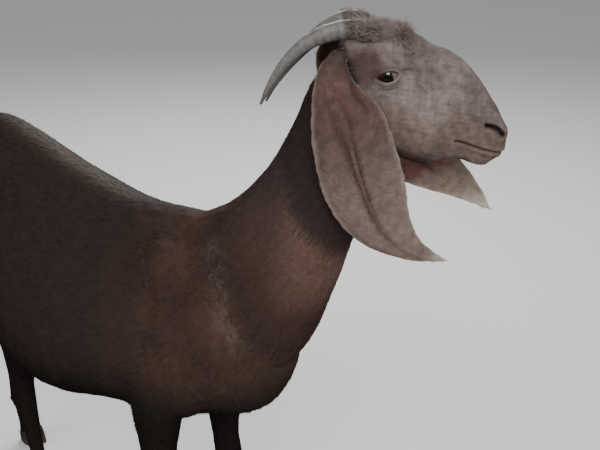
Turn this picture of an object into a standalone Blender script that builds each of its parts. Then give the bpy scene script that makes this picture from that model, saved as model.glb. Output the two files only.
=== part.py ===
"""Beetal goat, a still life-size model of the standing animal.

The body faces +X with its left side at +Y.  The neck bends to the left, so the
head looks about 40 degrees to that side, and the long ears hang below the jaw.
All sizes are in metres.
"""
import math
import random

import bmesh
import bpy
import numpy as np
from mathutils import Matrix, Vector

# Driving sizes
GAP = 0.0003                      # clearance between pieces that touch
VOXEL = 0.0035                    # grid of the first, fine body surface
FLESH_TRIANGLES = 7600            # what the fused body keeps after thinning
HEAD_ORIGIN = Vector((0.454, 0.102, 1.037))   # mid-plane of the head, level with the eyes
HEAD_TURN = math.radians(40.0)    # heading of the head, to the goat's left
HEAD_DIP = math.radians(24.3)     # slope of the head's long axis below level
HEAD_START = (-0.055, 0.0)        # where the long axis starts, in the head's own plane
EYE_RADIUS = 0.0145
EYE_ALONG, EYE_UP, EYE_OUT = 0.050, 0.023, 0.0460
EAR_THICKNESS = 0.0036
HOOF_LENGTH = 0.058
HOOF_HEIGHT = 0.040
CLAW_WIDTH = 0.023
DEWCLAW_HEIGHT = 0.104
CLAW_SIDES = 14
CLEFT = 0.0014                    # half the space between the two claws
HOOF_SLOPE = 0.40                 # rise of the top edge of a hoof towards the toe
LID_LENGTH, LID_HEIGHT, LID_SIDES = 0.0270, 0.0175, 20
LID_THICKNESS = 0.0034
LID_TILT = math.radians(38.0)     # against the head's long axis
EAR_ROWS, EAR_COLUMNS = 23, 9
EAR_FOLDS = (-0.30, 0.22)
EAR_FOLD_DEPTH = 0.006
FORELEG_CUT = (0.428, 0.098)      # height of the cut, reach behind the foot
HIND_LEG_CUT = (0.368, 0.220)
HEAD_CUT = (-0.044, 0.0, 0.010)   # a point between head and neck, in the head's frame
HEAD_CUT_AXIS = (0.928, 0.371)    # its normal, forward and up
NECK_CUT = (0.235, 0.0, 0.800)    # a point between neck and trunk
NECK_CUT_AXIS = (0.737, 0.0, 0.676)

THIGH_SHARE = 0.30                # how much of a hind leg's stride the thigh follows

# Half sections of the trunk: x, top, bottom, half width, how much the top narrows
TRUNK = (
    (-0.475, 0.750, 0.655, 0.040, 0.05),
    (-0.445, 0.796, 0.590, 0.080, 0.12),
    (-0.385, 0.834, 0.518, 0.104, 0.25),
    (-0.310, 0.850, 0.460, 0.120, 0.36),
    (-0.220, 0.836, 0.402, 0.138, 0.42),
    (-0.120, 0.810, 0.390, 0.155, 0.44),
    (-0.025, 0.792, 0.403, 0.159, 0.44),
    (0.060, 0.784, 0.428, 0.146, 0.44),
    (0.140, 0.791, 0.440, 0.122, 0.46),
    (0.210, 0.797, 0.455, 0.104, 0.40),
    (0.285, 0.775, 0.475, 0.092, 0.20),
    (0.338, 0.725, 0.510, 0.072, 0.05),
    (0.366, 0.670, 0.565, 0.040, 0.0),
)

# Neck: x, y, z of the centre, heading in degrees, lean of the section, half depth, half width
NECK = (
    (0.190, 0.000, 0.630, 0.0, 42.0, 0.150, 0.080),
    (0.290, 0.002, 0.702, 4.0, 46.0, 0.132, 0.074),
    (0.352, 0.014, 0.782, 12.0, 56.0, 0.098, 0.062),
    (0.386, 0.040, 0.862, 24.0, 66.0, 0.075, 0.052),
    (0.408, 0.064, 0.935, 34.0, 72.0, 0.066, 0.047),
    (0.428, 0.078, 1.000, 40.0, 70.0, 0.062, 0.047),
    (0.446, 0.094, 1.040, 40.0, 60.0, 0.048, 0.042),
)

# Head along its own axis: distance, top, bottom, half width, how much the top narrows
HEAD = (
    (-0.014, 0.030, -0.040, 0.026, 0.0),
    (0.000, 0.059, -0.058, 0.044, 0.0),
    (0.030, 0.0735, -0.074, 0.053, 0.02),
    (0.062, 0.0755, -0.083, 0.0545, 0.06),
    (0.095, 0.0775, -0.081, 0.050, 0.10),
    (0.125, 0.0785, -0.074, 0.043, 0.14),
    (0.150, 0.0725, -0.066, 0.0365, 0.16),
    (0.175, 0.0605, -0.0575, 0.0315, 0.14),
    (0.200, 0.0455, -0.050, 0.0290, 0.08),
    (0.222, 0.0305, -0.045, 0.0275, 0.02),
    (0.238, 0.0130, -0.034, 0.0240, 0.0),
    (0.2475, -0.0020, -0.019, 0.0140, 0.0),
)
# Line of the mouth, from the corner to the front: along, out, up
MOUTH = (
    (0.1770, 0.0315, -0.0215), (0.1950, 0.0290, -0.0200), (0.2120, 0.0270, -0.0190),
    (0.2280, 0.0235, -0.0170), (0.2400, 0.0160, -0.0150), (0.2462, 0.0070, -0.0140),
)
MOUTH_DEPTH, MOUTH_GAP = 0.0042, 0.0011
NOSTRIL = (0.2170, 0.0270, 0.0128)
NOSTRIL_RADII = (0.0125, 0.0070, 0.0030)
NOSTRIL_DIP = 4.0                 # degrees below the head's long axis

# Locks of hair: where the roots lie and how the hair runs
POLL_LOCKS, TAIL_LOCKS = 30, 16
LOCK_SIDES, LOCK_RINGS = 4, 4
TUFT_ROWS, TUFT_START, TUFT_LENGTH = 5, -0.006, 0.070
TUFT_HALF_WIDTH, TUFT_CORE = 0.032, 0.009

# Legs: z, x, y out from the middle, half length, half width
FORELEG = (
    (0.640, 0.205, 0.070, 0.070, 0.040),
    (0.540, 0.185, 0.080, 0.064, 0.042),
    (0.470, 0.168, 0.084, 0.051, 0.037),
    (0.400, 0.163, 0.085, 0.038, 0.030),
    (0.330, 0.166, 0.085, 0.028, 0.025),
    (0.285, 0.172, 0.085, 0.0275, 0.0265),
    (0.262, 0.173, 0.085, 0.0265, 0.0265),
    (0.225, 0.170, 0.085, 0.0190, 0.0185),
    (0.150, 0.168, 0.085, 0.0165, 0.0160),
    (0.110, 0.167, 0.085, 0.0215, 0.0205),
    (0.085, 0.174, 0.085, 0.0185, 0.0195),
    (0.060, 0.186, 0.085, 0.0205, 0.0215),
    (0.020, 0.196, 0.085, 0.0215, 0.0225),
)
HIND_LEG = (
    (0.660, -0.345, 0.070, 0.105, 0.045),
    (0.560, -0.330, 0.084, 0.095, 0.048),
    (0.490, -0.315, 0.086, 0.074, 0.042),
    (0.430, -0.330, 0.084, 0.050, 0.032),
    (0.380, -0.352, 0.082, 0.036, 0.025),
    (0.345, -0.366, 0.081, 0.034, 0.022),
    (0.315, -0.370, 0.080, 0.032, 0.023),
    (0.280, -0.362, 0.080, 0.024, 0.021),
    (0.220, -0.354, 0.080, 0.0185, 0.0175),
    (0.150, -0.346, 0.080, 0.0180, 0.0165),
    (0.112, -0.343, 0.080, 0.0230, 0.0205),
    (0.086, -0.334, 0.080, 0.0190, 0.0190),
    (0.060, -0.322, 0.080, 0.0205, 0.0215),
    (0.020, -0.311, 0.080, 0.0215, 0.0225),
)
LEGS = {
    "front_right": (FORELEG, -1, 0.0, 0.0),
    "front_left": (FORELEG, 1, -0.012, -0.006),
    "hind_right": (HIND_LEG, -1, 0.110, -0.012),
    "hind_left": (HIND_LEG, 1, -0.175, -0.012),
}

# Ear edges in the head's plane: forward, up.  The rear edge, then the front edge
EAR_EDGES = {
    "ear_right": (
        ((-0.062, 0.030), (-0.077, 0.024), (-0.091, 0.002), (-0.097, -0.046), (-0.092, -0.105),
         (-0.076, -0.160), (-0.046, -0.206), (0.000, -0.236), (0.045, -0.248), (0.084, -0.252)),
        ((-0.052, 0.032), (-0.053, 0.020), (-0.043, -0.004), (-0.008, -0.036), (0.010, -0.080),
         (0.024, -0.125), (0.032, -0.168), (0.044, -0.208), (0.068, -0.234), (0.090, -0.251)),
    ),
    "ear_left": (
        ((-0.050, 0.034), (-0.070, 0.030), (-0.088, 0.004), (-0.083, -0.046), (-0.062, -0.100),
         (-0.030, -0.145), (0.012, -0.178), (0.060, -0.197), (0.112, -0.211), (0.162, -0.228)),
        ((-0.038, 0.038), (-0.033, 0.030), (-0.028, 0.002), (0.002, -0.034), (0.040, -0.066),
         (0.076, -0.100), (0.104, -0.132), (0.130, -0.163), (0.152, -0.193), (0.172, -0.229)),
    ),
}
EAR_OUT = (0.026, 0.046, 0.060, 0.070, 0.076, 0.078, 0.076, 0.072, 0.068, 0.064)
EAR_ARCH = (0.002, 0.012, 0.021, 0.025, 0.024, 0.020, 0.016, 0.012, 0.007, 0.001)

# Horn centre lines in the head's frame: forward, out, up, radius.  The left one drops sooner
HORNS = {
    "horn_right": (
        (0.000, 0.018, 0.018, 0.0125), (-0.016, 0.020, 0.043, 0.0138),
        (-0.042, 0.022, 0.0516, 0.0130), (-0.072, 0.024, 0.0487, 0.0112),
        (-0.102, 0.026, 0.0355, 0.0092), (-0.128, 0.028, 0.0123, 0.0070),
        (-0.1486, 0.029, -0.0169, 0.0044), (-0.161, 0.029, -0.0419, 0.0016),
    ),
    "horn_left": (
        (0.000, 0.018, 0.018, 0.0125), (-0.016, 0.020, 0.0440, 0.0136),
        (-0.042, 0.021, 0.0565, 0.0126), (-0.070, 0.022, 0.0480, 0.0110),
        (-0.098, 0.024, 0.0260, 0.0090), (-0.124, 0.026, -0.0020, 0.0068),
        (-0.144, 0.027, -0.0300, 0.0043), (-0.156, 0.027, -0.0540, 0.0016),
    ),
}

# Tail centre line: x, z, half width, half thickness
TAIL = (
    (-0.415, 0.780, 0.024, 0.020),
    (-0.452, 0.778, 0.024, 0.018),
    (-0.480, 0.752, 0.026, 0.015),
    (-0.498, 0.712, 0.025, 0.013),
    (-0.508, 0.668, 0.020, 0.011),
    (-0.513, 0.628, 0.010, 0.006),
)

COLOURS = {
    "torso": (0.030, 0.018, 0.014), "neck": (0.026, 0.016, 0.012), "head": (0.135, 0.100, 0.085),
    "tail": (0.020, 0.014, 0.012), "leg": (0.022, 0.015, 0.012), "ear": (0.160, 0.118, 0.095),
    "eye": (0.020, 0.012, 0.008), "horn": (0.200, 0.195, 0.185), "hoof": (0.045, 0.038, 0.034),
}
ROUGHNESS = {"eye": 0.08, "horn": 0.55, "hoof": 0.5}


def clear_scene():
    """Remove what the scene holds, so that each run starts empty."""
    for thing in list(bpy.data.objects):
        bpy.data.objects.remove(thing, do_unlink=True)


def new_collection(name):
    """A collection linked under the scene."""
    collection = bpy.data.collections.new(name)
    bpy.context.scene.collection.children.link(collection)
    return collection


def material_for(name):
    """A plain coat, horn or eye material for the node's kind."""
    kind = name.split("_")[0]
    material = bpy.data.materials.new(name + "_material")
    material.use_nodes = True
    shader = material.node_tree.nodes["Principled BSDF"]
    shader.inputs["Base Color"].default_value = (*COLOURS[kind], 1.0)
    shader.inputs["Roughness"].default_value = ROUGHNESS.get(kind, 0.85)
    shader.inputs["Metallic"].default_value = 0.0
    return material


def head_point(forward, out, up):
    """World position of a point given in the head's own upright frame."""
    ahead = Vector((math.cos(HEAD_TURN), math.sin(HEAD_TURN), 0.0))
    left = Vector((-math.sin(HEAD_TURN), math.cos(HEAD_TURN), 0.0))
    return HEAD_ORIGIN + ahead * forward + left * out + Vector((0.0, 0.0, up))


def axis_point(along, out, up):
    """World position of a point given along and across the head's long axis."""
    forward = HEAD_START[0] + along * math.cos(HEAD_DIP) + up * math.sin(HEAD_DIP)
    height = HEAD_START[1] - along * math.sin(HEAD_DIP) + up * math.cos(HEAD_DIP)
    return head_point(forward, out, height)


def smooth_rows(rows, count):
    """Resample rows of numbers on a Catmull-Rom curve through them."""
    data = np.array(rows, dtype=float)
    padded = np.vstack([2.0 * data[0] - data[1], data, 2.0 * data[-1] - data[-2]])
    places = np.linspace(0.0, len(data) - 1.0, count)
    start = np.minimum(places.astype(int), len(data) - 2)
    t = (places - start)[:, None]
    before, here = padded[start], padded[start + 1]
    there, after = padded[start + 2], padded[start + 3]
    slope_here = 0.5 * (there - before)
    slope_there = 0.5 * (after - here)
    return ((2 * t**3 - 3 * t**2 + 1) * here + (t**3 - 2 * t**2 + t) * slope_here
            + (3 * t**2 - 2 * t**3) * there + (t**3 - t**2) * slope_there)


def add_object(name, mesh, collection):
    """An object on a mesh, linked to a collection."""
    thing = bpy.data.objects.new(name, mesh)
    collection.objects.link(thing)
    return thing


def loft(name, rings, collection):
    """Close a row of rings of points into one tube with flat ends."""
    mesh = bpy.data.meshes.new(name)
    shape = bmesh.new()
    loops = [[shape.verts.new(point) for point in ring] for ring in rings]
    for lower, upper in zip(loops, loops[1:]):
        for index in range(len(lower)):
            after = (index + 1) % len(lower)
            shape.faces.new((lower[index], lower[after], upper[after], upper[index]))
    shape.faces.new(loops[0])
    shape.faces.new(loops[-1])
    bmesh.ops.recalc_face_normals(shape, faces=shape.faces)
    shape.to_mesh(mesh)
    shape.free()
    return add_object(name, mesh, collection)


def oval(centre, across, along, wide, rise, drop, narrow, sides):
    """Points round a section that may be flatter above than below, and narrower on top."""
    points = []
    for index in range(sides):
        angle = 2.0 * math.pi * index / sides
        reach = rise if math.cos(angle) > 0.0 else drop
        spread = wide * math.sin(angle) * (1.0 - narrow * math.cos(angle))
        points.append(centre + across * spread + along * reach * math.cos(angle))
    return points


def trunk(collection):
    """The barrel from the chest to the rump."""
    rings = []
    for x, top, bottom, wide, narrow in smooth_rows(TRUNK, 40):
        half = (top - bottom) / 2.0
        centre = Vector((x, 0.0, bottom + half))
        rings.append(oval(centre, Vector((0, 1, 0)), Vector((0, 0, 1)), wide, half, half, narrow, 40))
    return loft("trunk_shape", rings, collection)


def neck(collection):
    """The neck, which leans forward and turns to the goat's left."""
    rings = []
    for x, y, z, heading, lean, deep, wide in smooth_rows(NECK, 26):
        turn, tilt = math.radians(heading), math.radians(lean)
        ahead = Vector((math.cos(turn), math.sin(turn), 0.0))
        across = Vector((-math.sin(turn), math.cos(turn), 0.0))
        back = Vector((0, 0, 1)) * math.cos(tilt) - ahead * math.sin(tilt)
        rings.append(oval(Vector((x, y, z)), across, back, wide, deep, deep, 0.12, 32))
    return loft("neck_shape", rings, collection)


def skull(collection):
    """The head from the poll to the lips, without its eyes and ears."""
    rings = []
    across = head_point(0, 1, 0) - head_point(0, 0, 0)
    up = axis_point(0, 0, 1) - axis_point(0, 0, 0)
    for along, top, bottom, wide, narrow in smooth_rows(HEAD, 34):
        middle = 0.35 * top + 0.65 * bottom
        centre = axis_point(along, 0.0, middle)
        rings.append(oval(centre, across, up, wide, top - middle, middle - bottom, narrow, 36))
    return loft("skull_shape", rings, collection)


def leg(name, rows, side, forward, outward, collection):
    """One leg from the shoulder or thigh down to the coronet."""
    rings = []
    for z, x, y, long, wide in smooth_rows(rows, 44):
        fade = min(1.0, max(0.0, (rows[0][0] - z) / 0.25))
        centre = Vector((x + forward * fade, side * (y + outward * fade), z))
        rings.append(oval(centre, Vector((0, 1, 0)), Vector((1, 0, 0)), wide, long, long, 0.0, 20))
    return loft(name + "_shape", rings, collection)


def ball(name, centre, radii, turn, collection):
    """A stretched ball for one mass of muscle or bone."""
    mesh = bpy.data.meshes.new(name)
    shape = bmesh.new()
    bmesh.ops.create_uvsphere(shape, u_segments=18, v_segments=11, radius=1.0)
    place = Matrix.Translation(centre) @ turn.to_4x4() @ Matrix.Diagonal((*radii, 1.0))
    bmesh.ops.transform(shape, matrix=place, verts=shape.verts)
    shape.to_mesh(mesh)
    shape.free()
    return add_object(name, mesh, collection)


def level(degrees_down=0.0, heading=0.0):
    """Turn a ball nose down, then to the left."""
    return Matrix.Rotation(heading, 3, "Z") @ Matrix.Rotation(math.radians(degrees_down), 3, "Y")


def masses(collection):
    """Shoulders, thighs, hips and the bones of the face."""
    made = []
    for side, hind_leg in ((-1, "hind_right"), (1, "hind_left")):
        stride = THIGH_SHARE * LEGS[hind_leg][2]
        for label, centre, radii, dip in (
            ("blade", (0.200, 0.052, 0.640), (0.080, 0.040, 0.125), -12.0),
            ("shoulder", (0.282, 0.060, 0.590), (0.058, 0.036, 0.072), 25.0),
            ("arm", (0.205, 0.078, 0.540), (0.066, 0.034, 0.070), 0.0),
            ("thigh", (-0.348 + stride, 0.074, 0.610), (0.098, 0.044, 0.150), 12.0),
            ("hip", (-0.345, 0.090, 0.812), (0.042, 0.024, 0.022), 0.0),
            ("pin", (-0.452, 0.045, 0.752), (0.026, 0.022, 0.030), 0.0),
        ):
            x, y, z = centre
            made.append(ball(label, Vector((x, side * y, z)), radii, level(dip), collection))
        for label, place, radii in (
            ("orbit", (0.050, 0.0390, 0.024), (0.026, 0.0165, 0.020)),
            ("lids", (EYE_ALONG, EYE_OUT - 0.0004, EYE_UP), (EYE_RADIUS + LID_THICKNESS,) * 3),
            ("brow", (0.044, 0.0330, 0.044), (0.030, 0.0190, 0.016)),
            ("tuft", (0.030, 0.0120, 0.0670), (0.034, 0.0200, 0.0165)),
            ("cheek", (0.082, 0.0280, -0.030), (0.046, 0.0225, 0.046)),
            ("jaw", (0.118, 0.0180, -0.052), (0.060, 0.0160, 0.026)),
            ("nose_wing", (0.224, 0.0130, 0.012), (0.020, 0.0150, 0.015)),
            ("upper_lip", (0.214, 0.0120, -0.010), (0.030, 0.0180, 0.014)),
            ("lower_lip", (0.212, 0.0100, -0.036), (0.026, 0.0150, 0.012)),
            ("ear_base", (-0.004, 0.0370, 0.030), (0.018, 0.0140, 0.020)),
        ):
            along, out, up = place
            turn = level(math.degrees(HEAD_DIP), HEAD_TURN)
            made.append(ball(label, axis_point(along, side * out, up), radii, turn, collection))
    return made


def evaluated_copy(source, name, collection):
    """A plain mesh object of what the source's modifiers make."""
    view = bpy.context.evaluated_depsgraph_get()
    mesh = bpy.data.meshes.new_from_object(source.evaluated_get(view))
    copy = add_object(name, mesh, collection)
    copy.matrix_world = source.matrix_world
    return copy


def replace_mesh(thing):
    """Apply every modifier of an object to its mesh."""
    view = bpy.context.evaluated_depsgraph_get()
    view.update()
    mesh = bpy.data.meshes.new_from_object(thing.evaluated_get(view))
    thing.modifiers.clear()
    thing.data = mesh


def join(things, name, collection):
    """One object from the meshes of several, which are removed."""
    shape = bmesh.new()
    for thing in things:
        thing.data.transform(thing.matrix_world)
        shape.from_mesh(thing.data)
    mesh = bpy.data.meshes.new(name)
    shape.to_mesh(mesh)
    shape.free()
    for thing in things:
        bpy.data.objects.remove(thing, do_unlink=True)
    return add_object(name, mesh, collection)


def fuse(thing, voxel):
    """Turn overlapping closed shapes into one skin on a fine grid."""
    grid = thing.modifiers.new("Fuse", "REMESH")
    grid.mode = "VOXEL"
    grid.voxel_size = voxel
    grid.adaptivity = 0.0
    replace_mesh(thing)


def positions(mesh):
    """The mesh's points as an array."""
    points = np.empty(len(mesh.vertices) * 3)
    mesh.vertices.foreach_get("co", points)
    return points.reshape(-1, 3)


def store(mesh, points):
    """Write an array of points back to the mesh."""
    mesh.vertices.foreach_set("co", points.ravel())
    mesh.update()


def relax(mesh, steps, amount):
    """Smooth a fine skin; amount gives each point its own strength."""
    points = positions(mesh)
    edges = np.empty(len(mesh.edges) * 2, dtype=np.int32)
    mesh.edges.foreach_get("vertices", edges)
    first, second = edges.reshape(-1, 2).T
    count = np.bincount(edges, minlength=len(points))[:, None]
    for _ in range(steps):
        pull = np.column_stack([
            np.bincount(first, points[second, k], len(points))
            + np.bincount(second, points[first, k], len(points)) for k in range(3)])
        points += amount[:, None] * (pull / count - points)
    store(mesh, points)


def head_nearness(points):
    """One on the face, fading to nothing down the neck."""
    middle = np.array(axis_point(0.12, 0.0, 0.0))
    distance = np.linalg.norm(points - middle, axis=1)
    return np.clip((0.22 - distance) / 0.06, 0.0, 1.0)


def thin_out(thing, target):
    """Thin the fine skin, keeping more of the face."""
    group = thing.vertex_groups.new(name="Coarse")
    weights = 1.0 - 0.9 * head_nearness(positions(thing.data))
    for index, weight in enumerate(weights):
        group.add([index], float(weight), "REPLACE")
    thin = thing.modifiers.new("Thin", "DECIMATE")
    thin.ratio = target / (2.0 * len(thing.data.polygons))
    thin.use_collapse_triangulate = True
    thin.vertex_group = group.name
    thin.vertex_group_factor = 0.02
    replace_mesh(thing)
    thing.vertex_groups.clear()


def box(name, low, high, collection):
    """A block between two corners, used as a cutter."""
    mesh = bpy.data.meshes.new(name)
    shape = bmesh.new()
    bmesh.ops.create_cube(shape, size=1.0)
    size = Vector(high) - Vector(low)
    middle = (Vector(high) + Vector(low)) / 2.0
    place = Matrix.Translation(middle) @ Matrix.Diagonal((*size, 1.0))
    bmesh.ops.transform(shape, matrix=place, verts=shape.verts)
    shape.to_mesh(mesh)
    shape.free()
    return hide(add_object(name, mesh, collection))


def block_beyond(name, point, normal, reach, collection):
    """A block whose base lies on a plane and which fills what is beyond it."""
    cutter = box(name, (-reach, -reach, 0.0), (reach, reach, reach), collection)
    turn = Vector((0.0, 0.0, 1.0)).rotation_difference(normal.normalized()).to_matrix().to_4x4()
    cutter.matrix_world = Matrix.Translation(point) @ turn
    return cutter


def hide(cutter):
    """Keep a cutter out of renders."""
    cutter.hide_render = True
    cutter.display_type = "WIRE"
    return cutter


def cut(thing, cutter, operation):
    """Apply one Boolean to an object."""
    step = thing.modifiers.new("Cut", "BOOLEAN")
    step.operation = operation
    step.object = cutter
    replace_mesh(thing)


def keep_largest(thing):
    """Keep only the closed surface with the most volume."""
    shape = bmesh.new()
    shape.from_mesh(thing.data)
    left = set(shape.verts)
    pieces = []
    while left:
        seed = left.pop()
        piece, todo = {seed}, [seed]
        while todo:
            for edge in todo.pop().link_edges:
                for vert in edge.verts:
                    if vert in left:
                        left.discard(vert)
                        piece.add(vert)
                        todo.append(vert)
        pieces.append(piece)
    pieces.sort(key=len, reverse=True)
    for piece in pieces[1:]:
        bmesh.ops.delete(shape, geom=list(piece), context="VERTS")
    shape.to_mesh(thing.data)
    shape.free()


def split(thing, name, cutter, step_back, collection):
    """Take the part inside a cutter as a node, and leave the rest with a gap to it."""
    piece = evaluated_copy(thing, name, collection)
    cut(piece, cutter, "INTERSECT")
    keep_largest(piece)
    cutter.location = cutter.location + step_back
    bpy.context.view_layer.update()
    cut(thing, cutter, "DIFFERENCE")
    keep_largest(thing)
    return piece


def swollen(thing, amount, collection):
    """A cutter a little larger than an object all round."""
    cutter = hide(evaluated_copy(thing, thing.name + "_swollen", collection))
    shape = bmesh.new()
    shape.from_mesh(cutter.data)
    shape.normal_update()
    moved = [(vert, vert.co + vert.normal * amount) for vert in shape.verts]
    for vert, place in moved:
        vert.co = place
    shape.to_mesh(cutter.data)
    shape.free()
    return cutter


def divide(flesh, goat, cutters):
    """Part the body into head, neck, trunk and legs with thin gaps."""
    back = Vector((0.0, 0.0, 1.0)) * GAP
    for name, (rows, side, forward, _) in LEGS.items():
        top, reach = FORELEG_CUT if name.startswith("front") else HIND_LEG_CUT
        ends = sorted((side * 0.004, side * 0.30))
        foot = rows[-1][1] + forward
        block = box(name + "_block", (foot - reach, ends[0], -0.1), (foot + 0.11, ends[1], top), cutters)
        limb = split(flesh, "leg_" + name, block, back, goat)
        crown = coronet(name, 0.0)
        cut(limb, block_beyond(name + "_coronet", *crown, 0.3, cutters), "DIFFERENCE")
    throat = head_point(*HEAD_CUT)
    ahead = (head_point(HEAD_CUT_AXIS[0], 0.0, HEAD_CUT_AXIS[1]) - HEAD_ORIGIN).normalized()
    face = block_beyond("head_block", throat, ahead, 0.45, cutters)
    head = split(flesh, "head", face, -ahead * GAP, goat)
    rise = Vector(NECK_CUT_AXIS).normalized()
    base = block_beyond("neck_block", Vector(NECK_CUT), rise, 0.6, cutters)
    split(flesh, "neck", base, -rise * GAP, goat)
    flesh.name = "torso"
    return head


def coronet(name, drop):
    """A point on the top edge of a hoof and the direction down through it."""
    rows, side, forward, outward = LEGS[name]
    point = Vector((rows[-1][1] + forward, side * (rows[-1][2] + outward), HOOF_HEIGHT - drop))
    return point, Vector((HOOF_SLOPE, 0.0, -1.0))


def claw(name, leg_name, inner, collection):
    """One half of a cloven hoof, with a flat sole on the floor."""
    middle, down = coronet(leg_name, GAP)
    side = LEGS[leg_name][1] * (-1 if inner else 1)
    rings = []
    for lift, long, wide, shift in ((0.0, 1.0, 1.0, 0.008), (0.5, 0.90, 0.98, 0.004), (1.0, 0.76, 0.93, 0.0)):
        ring = []
        for index in range(CLAW_SIDES):
            angle = 2.0 * math.pi * index / CLAW_SIDES
            x = shift + HOOF_LENGTH / 2.0 * long * math.cos(angle)
            y = CLAW_WIDTH / 2.0 * (1.0 + wide * math.sin(angle) * (1.0 - 0.25 * math.cos(angle)))
            top = middle.z + x * HOOF_SLOPE
            ring.append(Vector((middle.x + x, middle.y + side * max(y, CLEFT), top * lift)))
        rings.append(ring)
    return loft(name, rings, collection)


def eye(name, side, head, goat, cutters):
    """An eyeball, set in a socket of the head behind a lid opening."""
    place = axis_point(EYE_ALONG, side * EYE_OUT, EYE_UP)
    socket = hide(ball(name + "_socket", place, (EYE_RADIUS + GAP,) * 3, level(), cutters))
    opening = hide(lid_opening(name + "_opening", side, cutters))
    cut(head, opening, "DIFFERENCE")
    cut(head, socket, "DIFFERENCE")
    keep_largest(head)
    return ball(name, place, (EYE_RADIUS,) * 3, level(), goat)


def lid_opening(name, side, collection):
    """The almond between the lids, as a prism that reaches the eyeball."""
    rings = []
    for out, grow in ((EYE_OUT + 0.004, 0.80), (EYE_OUT + 0.012, 1.0), (EYE_OUT + 0.030, 1.6)):
        ring = []
        for index in range(LID_SIDES):
            angle = 2.0 * math.pi * index / LID_SIDES
            along = LID_LENGTH / 2.0 * math.cos(angle)
            up = LID_HEIGHT / 2.0 * math.sin(angle) * abs(math.sin(angle)) ** 0.4
            tilt = LID_TILT
            ring.append(axis_point(EYE_ALONG + grow * (along * math.cos(tilt) - up * math.sin(tilt)),
                                   side * out,
                                   EYE_UP + grow * (along * math.sin(tilt) + up * math.cos(tilt))))
        rings.append(ring)
    return loft(name, rings, collection)


def ear(name, side, neighbours, goat):
    """A long folded ear: a sheet between its two edges, cupped towards the cheek."""
    rear, front = (smooth_rows(edge, EAR_ROWS) for edge in EAR_EDGES[name])
    across = smooth_rows([(out, arch) for out, arch in zip(EAR_OUT, EAR_ARCH)], EAR_ROWS)
    mesh = bpy.data.meshes.new(name)
    shape = bmesh.new()
    grid = []
    for row in range(EAR_ROWS):
        line = []
        for column in range(EAR_COLUMNS):
            share = column / (EAR_COLUMNS - 1.0)
            w = 2.0 * share - 1.0
            forward, up = rear[row] * (1.0 - share) + front[row] * share
            fold = sum(math.exp(-((w - place) / 0.16) ** 2) for place in EAR_FOLDS)
            depth = EAR_FOLD_DEPTH * math.sin(math.pi * row / (EAR_ROWS - 1.0)) ** 2
            out = across[row][0] + across[row][1] * (1.0 - w * w) - depth * fold
            line.append(shape.verts.new(head_point(forward, side * out, up)))
        grid.append(line)
    for lower, upper in zip(grid, grid[1:]):
        for column in range(EAR_COLUMNS - 1):
            shape.faces.new((lower[column], lower[column + 1], upper[column + 1], upper[column]))
    if side > 0:
        bmesh.ops.reverse_faces(shape, faces=shape.faces)
    shape.to_mesh(mesh)
    shape.free()
    thing = add_object(name, mesh, goat)
    wall = thing.modifiers.new("Thickness", "SOLIDIFY")
    wall.thickness = EAR_THICKNESS
    wall.offset = 0.0
    replace_mesh(thing)
    for neighbour in neighbours:
        cut(thing, neighbour, "DIFFERENCE")
    keep_largest(thing)
    return thing


def tube(name, rows, sides, collection):
    """A round tube through world points with a radius at each."""
    rings = []
    for index, (x, y, z, radius) in enumerate(rows):
        before = Vector(rows[max(index - 1, 0)][:3])
        after = Vector(rows[min(index + 1, len(rows) - 1)][:3])
        ahead = (after - before).normalized()
        across = ahead.cross(Vector((0.0, 0.0, 1.0))).normalized()
        up = across.cross(ahead)
        rings.append(oval(Vector((x, y, z)), across, up, radius * 0.82, radius, radius, 0.0, sides))
    return loft(name, rings, collection)


def horn(name, side, head, goat, cutters):
    """A sabre horn that sweeps back from the poll, its root set in the head."""
    rows = []
    for forward, out, up, radius in smooth_rows(HORNS[name], 16):
        rows.append((*head_point(forward, side * out, up), radius))
    thing = tube(name, rows, 12, goat)
    cut(head, swollen(thing, GAP, cutters), "DIFFERENCE")
    keep_largest(head)
    return thing


def mouth_cutter(collection):
    """A thin bent blade along the line between the lips."""
    right = [(along, -out, up) for along, out, up in MOUTH]
    path = smooth_rows(right + [(along, out, up) for along, out, up in reversed(MOUTH)], 30)
    places = [axis_point(*row) for row in path]
    up = (axis_point(0, 0, 1) - axis_point(0, 0, 0)).normalized()
    rings = []
    for index, place in enumerate(places):
        ahead = places[min(index + 1, len(places) - 1)] - places[max(index - 1, 0)]
        across = ahead.cross(up).normalized()
        end = min(index, len(places) - 1 - index) / 5.0
        deep = MOUTH_DEPTH * min(1.0, 0.35 + end)
        rings.append(oval(place, across, up, deep, MOUTH_GAP, MOUTH_GAP, 0.0, 8))
    return hide(loft("mouth_cutter", rings, collection))


def face_openings(head, cutters):
    """Cut the nostrils and the line of the mouth."""
    turn = level(math.degrees(HEAD_DIP) + NOSTRIL_DIP, HEAD_TURN)
    for side in (-1, 1):
        along, out, up = NOSTRIL
        flare = Matrix.Rotation(-side * 0.5, 3, "Z")
        place = axis_point(along, side * out, up)
        cut(head, hide(ball("nostril_cutter", place, NOSTRIL_RADII, turn @ flare, cutters)), "DIFFERENCE")
    cut(head, mouth_cutter(cutters), "DIFFERENCE")
    keep_largest(head)


def lock(root, run, lift, length, width, thick, bend, collection):
    """One flat tapered lock that starts sunk in the skin and ends in a point."""
    side = run.cross(lift).normalized()
    rings = []
    for index in range(LOCK_RINGS):
        share = index / (LOCK_RINGS - 1.0)
        rise = math.sin(share * math.pi * 0.8) * bend
        place = root + run * (length * share) + lift * rise + side * (bend * 0.5 * math.sin(share * 5.0))
        taper = 1.0 - 0.88 * share ** 1.5
        deep = thick * taper
        rings.append(oval(place, side, lift, width * taper, deep, deep, 0.0, LOCK_SIDES))
    return loft("lock", rings, collection)


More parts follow.
